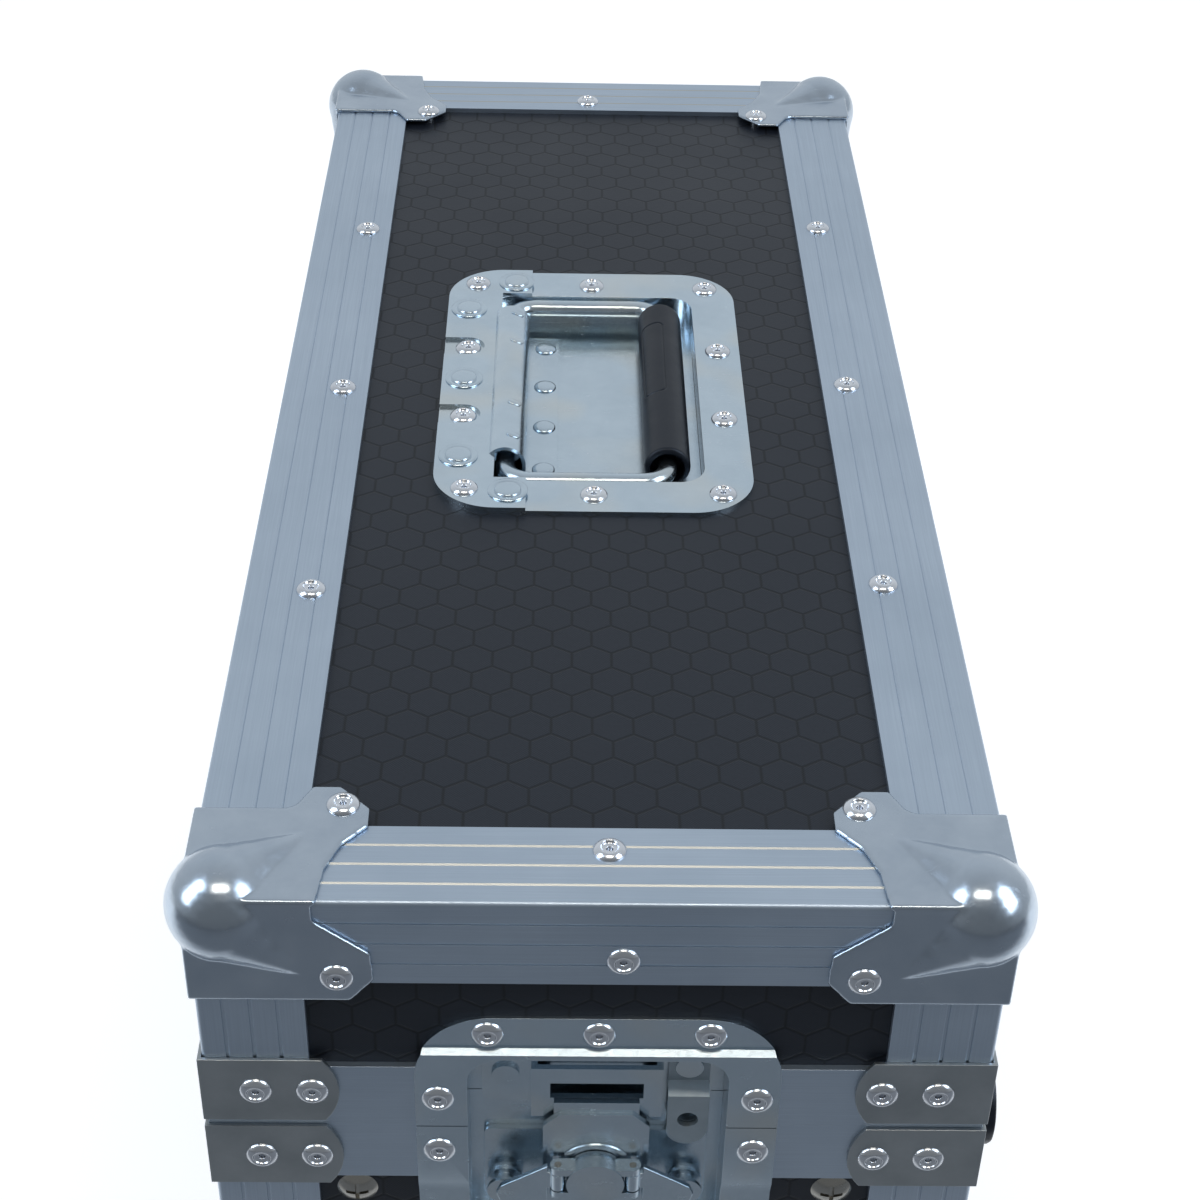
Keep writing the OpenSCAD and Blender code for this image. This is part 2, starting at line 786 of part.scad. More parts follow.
module handle_strap() {
  color(zinc) difference() {
    at_handle() difference() {
      union() {
        difference() {
          translate([0, 0, -seat_depth]) rounded_slab(handle_w, handle_l, handle_round, sheet_t);
          translate([-handle_w / 2 + strap_w, -handle_l, -handle_w / 2])
            cube([handle_w, 2 * handle_l, handle_w]);
          translate([-pocket_w / 2, -barrel_l / 2, -handle_w / 2]) cube([handle_w, barrel_l, handle_w]);
          translate([pivot_x - bail_r - handle_gap, -pocket_l / 2, -handle_w / 2])
            cube([handle_w, pocket_l, handle_w]);
          for (p = handle_rivet_shares) if (p[0] < -1 && abs(p[1]) < 1)
            translate(concat(handle_place(p), -seat_depth - over)) {
              disc(notch_r, sheet_t + 2 * over);
              translate([-handle_w, -notch_r, 0]) cube([handle_w, 2 * notch_r, sheet_t + 2 * over]);
            }
        }
        translate([pivot_x, barrel_l / 2, pivot_z]) rotate([90, 0, 0])
          linear_extrude(height = barrel_l) barrel_profile();
      }
      fixing_bores();
    }
    rivet_bores(handle_sites);
  }
}

// The coil spring is hidden inside the barrel, and drawn as the sleeve that it fills
module handle_spring() {
  l = barrel_l - 2 * bail_bend;
  color(zinc) at_handle() translate([pivot_x, l / 2, pivot_z]) rotate([90, 0, 0]) difference() {
    disc(barrel_r - sheet_t - handle_gap, l);
    translate([0, 0, -over]) disc(bail_r + handle_gap, l + 2 * over);
  }
}

module bail_bend_piece() {
  rotate_extrude(angle = 90) translate([bail_bend, 0]) circle(r = bail_r);
}

module handle_bail() {
  straight_y = bail_l - 2 * bail_bend;
  straight_x = bail_reach - 2 * bail_bend;
  color(zinc) at_handle() translate([pivot_x + bail_reach / 2, 0, pivot_z]) {
    for (s = signs) {
      translate([s * bail_reach / 2, straight_y / 2, 0]) rotate([90, 0, 0]) disc(bail_r, straight_y);
      translate([-straight_x / 2, s * bail_l / 2, 0]) rotate([0, 90, 0]) disc(bail_r, straight_x);
    }
    for (x = signs, y = signs) mirror([x > 0 ? 0 : 1, 0, 0]) mirror([0, y > 0 ? 0 : 1, 0])
      translate([straight_x / 2, straight_y / 2, 0]) bail_bend_piece();
  }
}

module handle_grip() {
  mouth_r = grip_r * 0.74;
  lip = grip_r * 0.12;
  color(rubber) at_handle() translate([pivot_x + bail_reach, grip_l / 2, pivot_z]) rotate([90, 0, 0])
    difference() {
      rotate_extrude() polygon([[0, 0], [grip_r - lip, 0], [grip_r, lip], [grip_r, grip_l - lip],
                                [grip_r - lip, grip_l], [0, grip_l]]);
      translate([0, 0, -over]) disc(bail_r + rivet_gap, grip_l + 2 * over);
      for (z = [-over, grip_l - grip_r]) translate([0, 0, z]) disc(mouth_r, grip_r + over);
    }
}

// Latches, drawn at an end: X across, Y into the case, Z from the split line

floor_y = latch_depth - sheet_t;
crank_low = rim_h + sheet_t;
crank_high = crank_low + 5 * sheet_t;
cam_z = -cam_drop;
claw_y = latch_depth * 0.36;
claw_back = claw_y + claw_t;
hook_t = claw_t * 0.45;
keeper_y = claw_back + hook_t + split_gap;
knuckle_r = wing_pin_r + sheet_t;
pin_y = claw_y - knuckle_r - sheet_t;
eccentric_z = cam_z - eccentric_offset;
lift_play = eccentric_r * 0.1;
bushing_y = claw_back + split_gap;
window_h = 2 * (eccentric_r + lift_play);
window_w = 2 * (eccentric_r + eccentric_offset + 2 * lift_play);
claw_side = (claw_w - window_w) / 2;
claw_low = eccentric_z - window_h / 2 - claw_side;
claw_top = -split_gap - claw_t;
base_t = claw_t;
base_top = -keeper_w * 0.4;
hasp_x = keeper_w / 2 + hasp_w / 2 + claw_t * 0.8;
hasp_hole_z = -hasp_hole_r * 1.3;

// A plate lying in the plane of the end, from depth y to depth y + t, of a flat outline
module upright_plate(y, t) {
  translate([0, y + t, 0]) rotate([90, 0, 0]) linear_extrude(height = t) children();
}

// A section in depth and height, drawn across a width
module across(w) {
  rotate([90, 0, 90]) translate([0, 0, -w / 2]) linear_extrude(height = w) children();
}

// Half a latch dish, drawn upwards from the split line
module dish_shell(h, pocket_h) {
  big = 2 * latch_dish_h;
  low = split_gap / 2;
  intersection() {
    across(big) polygon([[-sheet_t, low], [-sheet_t, crank_low], [seat_depth, crank_high],
                         [seat_depth, big], [big, big], [big, low]]);
    difference() {
      union() {
        intersection() {
          across(big) polygon([[-sheet_t, 0], [0, 0], [0, crank_low], [edge_leg, crank_high],
                               [edge_leg, big], [seat_depth, big], [seat_depth, crank_high],
                               [-sheet_t, crank_low]]);
          upright_plate(-2 * sheet_t, latch_depth) rounded_plate(latch_w, 2 * h, latch_round);
        }
        upright_plate(-sheet_t, latch_depth + sheet_t)
          rounded_plate(latch_pocket_w + 2 * sheet_t, 2 * (pocket_h + sheet_t), pocket_round + sheet_t);
      }
      upright_plate(-2 * sheet_t, floor_y + 2 * sheet_t)
        rounded_plate(latch_pocket_w, 2 * pocket_h, pocket_round);
    }
  }
}

module keeper_dish(rear) {
  color(zinc) difference() {
    at_end(rear) difference() {
      dish_shell(keeper_dish_h, keeper_pocket_h);
      keeper_fixings(true);
    }
    rivet_bores(lid_sites);
  }
}

module latch_dish(rear) {
  color(zinc) difference() {
    at_end(rear) difference() {
      mirror([0, 0, 1]) dish_shell(latch_dish_h, latch_pocket_h);
      translate([0, 0, cam_z]) rotate([-90, 0, 0]) disc(cam_shaft_r + split_gap, latch_depth + over);
    }
    rivet_bores(body_sites);
  }
}

ear_w = hasp_w + claw_t;
ear_low = -keeper_w * 0.08;
ear_high = keeper_pocket_h - sheet_t * 2;
keeper_low = -keeper_w * 0.16;
keeper_high = keeper_w * 0.37;
keeper_rivet_z = [keeper_w * 0.24, keeper_w * 0.39];

// The two rivets through the keeper's ears, or their bores
module keeper_fixings(bore) {
  seat = [floor_y - claw_t, floor_y - 2 * claw_t];
  for (i = [0, 1]) translate([signs[i] * hasp_x, seat[i], keeper_rivet_z[i]]) rotate([90, 0, 0]) {
    if (bore) translate([0, 0, -2 * latch_depth]) disc(fix_r + rivet_gap, 2 * latch_depth + over);
    if (!bore) {
      translate([0, 0, -(floor_y + sheet_t - seat[i])]) disc(fix_r, floor_y + sheet_t - seat[i]);
      disc(low_rivet_r, sheet_t);
    }
  }
}

module keeper(rear) {
  slot_w = keeper_w * 0.71;
  slot_low = keeper_w * 0.05;
  slot_h = keeper_w * 0.16;
  color(zinc) at_end(rear) {
    difference() {
      union() {
        difference() {
          translate([-keeper_w / 2, keeper_y, keeper_low])
            cube([keeper_w, floor_y - keeper_y, keeper_high - keeper_low]);
          translate([-keeper_w / 2 + claw_t, keeper_y + claw_t, keeper_low - over])
            cube([keeper_w - 2 * claw_t, floor_y, keeper_high - keeper_low + 2 * over]);
        }
        for (s = signs) translate([s * (keeper_w + ear_w) / 2, 0, (ear_low + ear_high) / 2])
          upright_plate(floor_y - claw_t, claw_t)
            rounded_plate(ear_w + sheet_t, ear_high - ear_low, claw_t);
      }
      translate([-slot_w / 2, keeper_y - over, slot_low]) cube([slot_w, claw_t + 2 * over, slot_h]);
      translate([-keeper_w / 2 + claw_t, keeper_y + claw_t, keeper_low - over])
        cube([keeper_w - 2 * claw_t, floor_y, keeper_high - keeper_low + 2 * over]);
      keeper_fixings(true);
    }
    keeper_fixings(false);
  }
}

module stadium(w, low, high) {
  translate([-w / 2, low + w / 2]) square([w, high - low - w]);
  for (z = [low + w / 2, high - w / 2]) translate([0, z]) circle(r = w / 2);
}

module upper_hasp(rear) {
  seat = floor_y - 2 * claw_t;
  low = hasp_hole_z - hasp_w * 0.8;
  high = keeper_rivet_z[1] + hasp_w / 2;
  bend = hasp_w * 0.5;
  slope = seat - claw_y;
  color(zinc) at_end(rear) difference() {
    intersection() {
      across(4 * keeper_w) polygon([[claw_y, low - over], [claw_back, low - over], [claw_back, bend],
        [seat + claw_t, bend + slope * 0.6], [seat + claw_t, high + over], [seat, high + over],
        [seat, bend + slope * 0.6], [claw_y, bend]]);
      translate([hasp_x, 0, 0]) upright_plate(0, floor_y) stadium(hasp_w, low, high);
    }
    hasp_hole();
    keeper_fixings(true);
  }
}

module hasp_hole() {
  translate([hasp_x, 0, hasp_hole_z]) rotate([-90, 0, 0]) disc(hasp_hole_r, floor_y - claw_t);
}

module lower_hasp(rear) {
  post_z = hasp_hole_z - hasp_hole_r - hasp_w / 3;
  color(zinc) at_end(rear) {
    difference() {
      translate([hasp_x, 0, 0]) upright_plate(claw_back + split_gap, claw_t)
        stadium(hasp_w, post_z - hasp_w / 2, -hasp_hole_z + hasp_hole_r / 2);
      hasp_hole();
    }
    translate([hasp_x, claw_back + split_gap + claw_t, post_z]) rotate([-90, 0, 0])
      disc(hasp_w / 4, floor_y - claw_back - split_gap - claw_t);
  }
}

post_x = latch_pocket_w * 0.36;
post_z = cam_z - eccentric_r - eccentric_offset;
post_r = hasp_w * 0.28;
post_head_r = hasp_w * 0.45;

module latch_base(rear) {
  low = post_z - eccentric_r;
  bushing_r = eccentric_r + eccentric_offset - split_gap;
  color(zinc) at_end(rear) {
    difference() {
      union() {
        translate([0, 0, (base_top + low) / 2]) upright_plate(floor_y - base_t, base_t)
          rounded_plate(latch_pocket_w * 0.89, base_top - low, claw_t);
        translate([0, bushing_y, cam_z]) rotate([-90, 0, 0]) disc(bushing_r, floor_y - bushing_y);
      }
      translate([0, 0, cam_z]) rotate([-90, 0, 0]) disc(cam_shaft_r + running_gap, latch_depth + over);
    }
    for (s = signs) translate([s * post_x, 0, post_z]) {
      translate([0, claw_back, 0]) rotate([-90, 0, 0]) disc(post_r, floor_y - base_t - claw_back);
      translate([0, claw_back, 0]) rotate([90, 0, 0]) disc(post_head_r, sheet_t);
      translate([0, floor_y - base_t, 0]) rotate([90, 0, 0]) disc(post_head_r, sheet_t);
    }
  }
}

lug_low = knuckle_r * 1.6;
lug_high = knuckle_r * 2.7;

module cam(rear) {
  head_y = -sheet_t * 0.85;
  color(zinc) at_end(rear) translate([0, 0, cam_z]) difference() {
    union() {
      translate([0, head_y, 0]) rotate([-90, 0, 0]) disc(cam_head_r, claw_y - split_gap - head_y);
      for (s = signs) {
        translate([-wing_pin_x, pin_y - knuckle_r, s > 0 ? lug_low : -lug_high])
          cube([2 * wing_pin_x, 2 * knuckle_r, lug_high - lug_low]);
        for (x = signs) translate([x * wing_pin_x, pin_y, s > 0 ? lug_low : -lug_high])
          disc(knuckle_r, lug_high - lug_low);
      }
      translate([0, claw_y - split_gap, -eccentric_offset]) rotate([-90, 0, 0])
        disc(eccentric_r, claw_back + split_gap / 3 - claw_y + split_gap);
      translate([0, claw_back, 0]) rotate([-90, 0, 0])
        disc(cam_shaft_r, latch_depth + 1.5 * sheet_t - claw_back);
    }
    for (x = signs)
      translate([x * wing_pin_x, pin_y, -lug_high - over]) disc(wing_pin_r, 2 * lug_high + 2 * over);
  }
}

module cam_clip(rear) {
  color(zinc) at_end(rear) translate([0, latch_depth + split_gap / 2, cam_z]) rotate([-90, 0, 0])
    difference() {
      disc(cam_shaft_r * 1.8, sheet_t);
      translate([0, 0, -over]) disc(cam_shaft_r, sheet_t + 2 * over);
    }
}

module wing_pins(rear) {
  color(nickel) at_end(rear) for (x = signs)
    translate([x * wing_pin_x, pin_y, cam_z - lug_high]) disc(wing_pin_r, 2 * lug_high);
}

// Outline of a wing from the cam's axis, as shares of its reach
wing_shares = [
  [0.37, 0.11], [0.47, 0.11], [0.47, 0.2], [0.93, -0.1], [0.97, -0.2],
  [0.9, -0.42], [0.6, -0.55], [0.47, -0.5], [0.47, -0.11], [0.37, -0.11]
];

module wing(rear, side) {
  color(zinc) at_end(rear) translate([0, 0, cam_z]) mirror([side > 0 ? 0 : 1, 0, 0]) difference() {
    union() {
      upright_plate(pin_y - wing_t / 2, wing_t) polygon([for (p = wing_shares) p * wing_reach]);
      translate([wing_pin_x, pin_y, -0.11 * wing_reach]) disc(knuckle_r, 0.22 * wing_reach);
    }
    translate([wing_pin_x, pin_y, -lug_high]) disc(wing_pin_r + running_gap, 2 * lug_high);
  }
}

module claw(rear) {
  corner = claw_w * 0.16;
  arch_r = cam_head_r + knuckle_r;
  color(zinc) at_end(rear) {
    difference() {
      upright_plate(claw_y, claw_t) polygon([
        [-claw_w / 2, claw_low], [claw_w / 2, claw_low], [claw_w / 2, claw_top - corner],
        [claw_w / 2 - corner, claw_top], [-claw_w / 2 + corner, claw_top], [-claw_w / 2, claw_top - corner]]);
      translate([-window_w / 2, claw_y - over, eccentric_z - window_h / 2])
        cube([window_w, claw_t + 2 * over, window_h]);
    }
    translate([-claw_w * 0.4, claw_back - hook_t, claw_top - claw_t])
      cube([claw_w * 0.8, 2 * hook_t, claw_t * 3.2]);
    difference() {
      translate([0, claw_y, cam_z]) rotate([90, 0, 0]) difference() {
        disc(arch_r + sheet_t / 2, sheet_t / 2);
        translate([0, 0, -over]) disc(arch_r - sheet_t / 2, sheet_t + 2 * over);
      }
      translate([-claw_w, claw_y - sheet_t, cam_z - claw_w])
        cube([2 * claw_w, 2 * sheet_t, claw_w + arch_r * 0.62]);
    }
  }
}

// Rack rails, spacers and screws

rail_y = panel_in + spacer_t;
rail_half = case_w / 2 - panel_in - rail_t;
rack_y = rail_y + rail_hole_in;
rail_screw_x = rail_half * 0.7;
spacer_h = rail_leg * 0.46;
rail_screw_z = -rim_h - spacer_h / 2 - split_gap * 2;
screw_r = screw_head_r * 0.42;
nut_h = screw_r * 1.6;
hole_shares = [1 / 7, 1 / 2, 6 / 7];

module both_ends() {
  at_end(false) children();
  at_end(true) children();
}

module at_rail_screws(y) {
  both_ends() for (s = signs) translate([s * rail_screw_x, y, rail_screw_z]) rotate([-90, 0, 0]) children();
}

module rail_screw_bores() {
  at_rail_screws(0) disc(screw_r + rivet_gap, rail_y + 2 * rail_t);
}

module rack_rails() {
  color(nickel) difference() {
    both_ends() difference() {
      union() {
        translate([-rail_half, rail_y, -rail_drop - rail_t]) cube([2 * rail_half, rail_face, rail_t]);
        translate([-rail_half, rail_y, -rail_drop - rail_leg]) cube([2 * rail_half, rail_t, rail_leg]);
      }
      for (u = [0:rack_units - 1], share = hole_shares)
        translate([(u + share - rack_units / 2) * rack_unit, rack_y, -rail_drop - rail_t - over])
          disc(rack_hole_r, rail_t + 2 * over);
    }
    rail_screw_bores();
  }
}

module rail_spacers() {
  color(laminate) difference() {
    at_rail_screws(panel_in)
      translate([-spacer_h, -spacer_h / 2, 0]) cube([2 * spacer_h, spacer_h, spacer_t]);
    rail_screw_bores();
  }
}

module rail_screws() {
  color(nickel) at_rail_screws(edge_leg) difference() {
    union() {
      disc(screw_r, rail_y + rail_t + nut_h - edge_leg);
      rotate([180, 0, 0]) pan_head(screw_head_r);
    }
    rotate([180, 0, 0]) cross_recess(screw_head_r);
  }
}

module pan_head(r) {
  h = r * 0.4;
  dome = (r * r + h * h) / (2 * h);
  intersection() {
    translate([0, 0, h - dome]) sphere(r = dome);
    disc(r, h);
  }
}

module cross_recess(r) {
  for (turn = [0, 90])
    rotate([0, 0, turn]) translate([-r * 0.55, -r * 0.1, r * 0.12]) cube([r * 1.1, r * 0.2, r]);
}

module rail_nuts() {
  color(nickel) at_rail_screws(rail_y + rail_t) difference() {
    cylinder(r = screw_r * 1.8, h = nut_h, $fn = 6);
    translate([0, 0, -over]) disc(screw_r, nut_h + 2 * over);
  }
}

// Feet, on the panel that is the underside when the case is in use

foot_seat = case_w / 2 - edge_leg;
foot_tip_r = foot_r * 0.88;
foot_recess_r = foot_r * 0.36;
foot_recess = foot_h * 0.55;
foot_bite = panel_t * 0.9;
foot_y = case_l / 2 - foot_inset;

module at_feet() {
  for (y = signs, z = [split_z - foot_drop, base_z + foot_rise])
    translate([foot_seat, y * foot_y, z]) rotate([0, 90, 0]) children();
}

module foot_screw_bores() {
  at_feet() translate([0, 0, -panel_t]) disc(screw_r + rivet_gap, panel_t + over);
}

module rubber_feet() {
  color(rubber) at_feet() difference() {
    cylinder(r1 = foot_r, r2 = foot_tip_r, h = foot_h);
    translate([0, 0, foot_h - foot_recess]) disc(foot_recess_r, foot_h);
    translate([0, 0, -over]) disc(screw_r + rivet_gap, foot_h);
  }
}

module foot_screws() {
  head = foot_recess_r * 0.8;
  color(nickel) at_feet() translate([0, 0, foot_h - foot_recess]) difference() {
    union() {
      pan_head(head);
      translate([0, 0, -foot_h + foot_recess - foot_bite]) disc(screw_r, foot_h - foot_recess + foot_bite);
    }
    cross_recess(head);
  }
}

module lid_front_panel() { lid_end_panel(false); }
module lid_rear_panel() { lid_end_panel(true); }
module body_front_panel() { body_end_panel(false); }
module body_rear_panel() { body_end_panel(true); }

module in_frame() {
  translate([frame_x, 0, 0]) children();
}

in_frame() body_front_panel();
in_frame() body_rear_panel();
in_frame() body_left_panel();
in_frame() body_right_panel();
in_frame() body_base_panel();
in_frame() body_corner_edges();
in_frame() body_base_edges();
in_frame() body_rim();
in_frame() body_ball_corners();
in_frame() body_corner_braces();
in_frame() body_rivets();
in_frame() rubber_feet();
in_frame() foot_screws();
in_frame() rack_rails();
in_frame() rail_spacers();
in_frame() rail_screws();
in_frame() rail_nuts();
in_frame() latch_dish(false);  // front_latch_dish
in_frame() latch_dish(true);  // rear_latch_dish
in_frame() latch_base(false);  // front_latch_base
in_frame() latch_base(true);  // rear_latch_base
in_frame() lower_hasp(false);  // front_lower_hasp
in_frame() lower_hasp(true);  // rear_lower_hasp
in_frame() lid_top_panel();
in_frame() lid_front_panel();
in_frame() lid_rear_panel();
in_frame() lid_left_panel();
in_frame() lid_right_panel();
in_frame() lid_corner_edges();
in_frame() lid_top_edges();
in_frame() lid_rim();
in_frame() lid_ball_corners();
in_frame() lid_corner_braces();
in_frame() lid_rivets();
in_frame() keeper_dish(false);  // front_keeper_dish
in_frame() keeper_dish(true);  // rear_keeper_dish
in_frame() keeper(false);  // front_keeper
in_frame() keeper(true);  // rear_keeper
in_frame() upper_hasp(false);  // front_upper_hasp
in_frame() upper_hasp(true);  // rear_upper_hasp
in_frame() handle_dish();
in_frame() handle_strap();
in_frame() handle_rivets();
in_frame() handle_spring();
in_frame() handle_bail();
in_frame() handle_grip();
in_frame() cam(false);  // front_cam
in_frame() cam(true);  // rear_cam
in_frame() cam_clip(false);  // front_cam_clip
in_frame() cam_clip(true);  // rear_cam_clip
in_frame() claw(false);  // front_claw
in_frame() claw(true);  // rear_claw
in_frame() wing_pins(false);  // front_wing_pins
in_frame() wing_pins(true);  // rear_wing_pins
in_frame() wing(false, -1);  // front_left_wing
in_frame() wing(false, 1);  // front_right_wing
in_frame() wing(true, -1);  // rear_left_wing
in_frame() wing(true, 1);  // rear_right_wing
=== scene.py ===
"""The looks of a rack case: its finishes and fine shapes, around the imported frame.

Lengths are in metres, apart from the values whose names end in _MM.
"""

import math

import bmesh
import bpy
from mathutils import Matrix, Vector


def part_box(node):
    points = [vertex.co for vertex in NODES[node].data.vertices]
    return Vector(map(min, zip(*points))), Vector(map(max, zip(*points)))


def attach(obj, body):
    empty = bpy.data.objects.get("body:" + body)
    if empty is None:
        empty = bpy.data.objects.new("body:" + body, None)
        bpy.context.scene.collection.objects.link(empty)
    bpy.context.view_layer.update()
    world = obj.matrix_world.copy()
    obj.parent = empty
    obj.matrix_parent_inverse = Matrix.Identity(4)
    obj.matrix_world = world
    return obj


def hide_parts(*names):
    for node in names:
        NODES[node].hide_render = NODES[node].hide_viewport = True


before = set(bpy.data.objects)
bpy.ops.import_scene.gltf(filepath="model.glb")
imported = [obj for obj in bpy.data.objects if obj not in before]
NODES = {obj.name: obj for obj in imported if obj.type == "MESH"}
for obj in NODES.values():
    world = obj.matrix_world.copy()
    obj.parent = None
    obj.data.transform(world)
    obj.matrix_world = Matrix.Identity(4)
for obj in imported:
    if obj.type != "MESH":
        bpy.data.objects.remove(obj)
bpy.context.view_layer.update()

MM = 0.001

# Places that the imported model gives
LID_LOW, LID_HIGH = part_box("lid_top_edges")
CASE_W = LID_HIGH.x - LID_LOW.x
CASE_L = LID_HIGH.y - LID_LOW.y
MID_X = (LID_HIGH.x + LID_LOW.x) / 2
SPLIT_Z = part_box("lid_rim")[0].z


def add_object(name, data):
    """Puts a new object into the scene."""
    obj = bpy.data.objects.new(name, data)
    bpy.context.scene.collection.objects.link(obj)
    return obj


# Camera, fitted to the photograph, whose frame is square

LENS_MM = 68.04
SENSOR_MM = 36.0
CAMERA_AT = Vector((-0.01645, -0.69575, 0.8098))
CAMERA_PITCH = 0.639
CAMERA_YAW = 0.0232
CAMERA_ROLL = 0.0247
CAMERA_CLIP = 0.01


def add_camera():
    """Looks down at the lid and the front latch, a little askew."""
    ahead = Vector((
        math.sin(CAMERA_YAW) * math.cos(CAMERA_PITCH),
        math.cos(CAMERA_YAW) * math.cos(CAMERA_PITCH),
        -math.sin(CAMERA_PITCH),
    ))
    right = Vector((math.cos(CAMERA_YAW), -math.sin(CAMERA_YAW), 0.0))
    up = right.cross(ahead)
    turned_right = math.cos(CAMERA_ROLL) * right + math.sin(CAMERA_ROLL) * up
    turned_up = -math.sin(CAMERA_ROLL) * right + math.cos(CAMERA_ROLL) * up
    data = bpy.data.cameras.new("camera")
    data.lens = LENS_MM
    data.sensor_width = SENSOR_MM
    data.clip_start = CAMERA_CLIP
    camera = add_object("camera", data)
    turn = Matrix((turned_right, turned_up, -ahead)).transposed()
    camera.matrix_world = Matrix.Translation(CAMERA_AT) @ turn.to_4x4()
    bpy.context.scene.camera = camera


# Materials

def rgb(r, g, b):
    return (r, g, b, 1.0)


# Sockets of a Mix node that mixes colours
MIX_FACTOR, MIX_FIRST, MIX_SECOND = 0, 6, 7
MIX_RESULT = 2


class Tree:
    """A material's nodes, with a short call for each kind that is used here."""

    def __init__(self, name):
        self.material = bpy.data.materials.new(name)
        self.material.use_nodes = True
        self.tree = self.material.node_tree
        self.shader = self.tree.nodes["Principled BSDF"]
        self.place = self.tree.nodes.new("ShaderNodeTexCoord").outputs["Object"]

    def put(self, socket, value):
        """Links a socket to another, or sets its number or colour."""
        if isinstance(value, bpy.types.NodeSocket):
            self.tree.links.new(value, socket)
        else:
            socket.default_value = value

    def math(self, operation, *values):
        node = self.tree.nodes.new("ShaderNodeMath")
        node.operation = operation
        for socket, value in zip(node.inputs, values):
            self.put(socket, value)
        return node.outputs[0]

    def axes(self):
        """The place on the object, as three numbers."""
        node = self.tree.nodes.new("ShaderNodeSeparateXYZ")
        self.put(node.inputs[0], self.place)
        return node.outputs

    def stretch(self, factors):
        """The place on the object, times a factor on each axis."""
        node = self.tree.nodes.new("ShaderNodeVectorMath")
        node.operation = "MULTIPLY"
        self.put(node.inputs[0], self.place)
        self.put(node.inputs[1], factors)
        return node.outputs[0]

    def noise(self, vector, scale, detail=2.0, roughness=0.5):
        node = self.tree.nodes.new("ShaderNodeTexNoise")
        self.put(node.inputs["Vector"], vector)
        node.inputs["Scale"].default_value = scale
        node.inputs["Detail"].default_value = detail
        node.inputs["Roughness"].default_value = roughness
        return node.outputs["Fac"]

    def spread(self, value, low, high, to_low=0.0, to_high=1.0):
        """Maps low to high of a value onto another range, and holds it there."""
        node = self.tree.nodes.new("ShaderNodeMapRange")
        self.put(node.inputs["Value"], value)
        for key, number in zip(("From Min", "From Max", "To Min", "To Max"), (low, high, to_low, to_high)):
            node.inputs[key].default_value = number
        return node.outputs["Result"]

    def blend(self, factor, first, second):
        node = self.tree.nodes.new("ShaderNodeMix")
        node.data_type = "RGBA"
        self.put(node.inputs[MIX_FACTOR], factor)
        self.put(node.inputs[MIX_FIRST], first)
        self.put(node.inputs[MIX_SECOND], second)
        return node.outputs[MIX_RESULT]

    def bump(self, height, distance, before=None):
        node = self.tree.nodes.new("ShaderNodeBump")
        node.inputs["Distance"].default_value = distance
        self.put(node.inputs["Height"], height)
        if before is not None:
            self.put(node.inputs["Normal"], before)
        return node.outputs["Normal"]

    def finish(self, color, roughness, normal=None, metallic=0.0, specular=0.5, tint=None):
        """Sets the shader's sockets and gives the material."""
        self.put(self.shader.inputs["Base Color"], color)
        self.put(self.shader.inputs["Roughness"], roughness)
        self.shader.inputs["Metallic"].default_value = metallic
        self.shader.inputs["Specular IOR Level"].default_value = specular
        if tint is not None:
            self.shader.inputs["Specular Tint"].default_value = tint
        if normal is not None:
            self.put(self.shader.inputs["Normal"], normal)
        return self.material


# The laminate's hexagons: their pitch, and as shares of it where the line between two of them lies
HEXAGON_PITCH = 12 * MM
HEXAGON_LINE_SHARES = (0.445, 0.485)
HEXAGON_DEEP = 0.06 * MM
WEAVE_PITCH = 0.9 * MM
WEAVE_DEEP = 0.02 * MM
LAMINATE_COLORS = rgb(0.005, 0.0065, 0.0105), rgb(0.01, 0.012, 0.0175)
HEXAGON_LINE_COLOR = rgb(0.002, 0.0022, 0.003)
LAMINATE_SHEEN = rgb(0.82, 0.9, 1.0)


def laminate(name, across, up):
    """Black laminate with embossed hexagons, whose points lie along the second axis."""
    t = Tree(name)
    place = t.axes()
    u = t.math("DIVIDE", place[across], HEXAGON_PITCH)
    v = t.math("DIVIDE", place[up], HEXAGON_PITCH)
    row = math.sqrt(3.0)

    def cell(shift):
        """How near a place is to the side of its hexagon, in one of the two sets of hexagons."""
        x = t.math("FLOORED_MODULO", t.math("ADD", u, shift * 0.5), 1.0)
        y = t.math("FLOORED_MODULO", t.math("ADD", v, shift * row / 2), row)
        x = t.math("ABSOLUTE", t.math("SUBTRACT", x, 0.5))
        y = t.math("ABSOLUTE", t.math("SUBTRACT", y, row / 2))
        slant = t.math("ADD", t.math("MULTIPLY", x, 0.5), t.math("MULTIPLY", y, row / 2))
        return t.math("MAXIMUM", x, slant)

    def wave(value):
        return t.math("SINE", t.math("MULTIPLY", value, 2 * math.pi / WEAVE_PITCH))

    cells = t.spread(t.math("MINIMUM", cell(0), cell(1)), *HEXAGON_LINE_SHARES, 1.0, 0.0)
    weave = t.math("MULTIPLY", wave(place[across]), wave(place[up]))
    fleck = t.noise(t.place, scale=900.0, detail=3.0, roughness=0.6)
    weave = t.math("ADD", t.math("MULTIPLY", weave, 0.5), fleck)
    cloud = t.noise(t.place, scale=14.0, detail=3.0)
    cell_color = t.blend(t.spread(weave, 0.1, 0.9), *LAMINATE_COLORS)
    color = t.blend(cells, HEXAGON_LINE_COLOR, cell_color)
    rough = t.math("ADD", t.spread(cells, 0.0, 1.0, 0.5, 0.42), t.spread(cloud, 0.3, 0.7, -0.03, 0.04))
    normal = t.bump(weave, WEAVE_DEEP, t.bump(cells, HEXAGON_DEEP))
    return t.finish(color, rough, normal, specular=0.42, tint=LAMINATE_SHEEN)


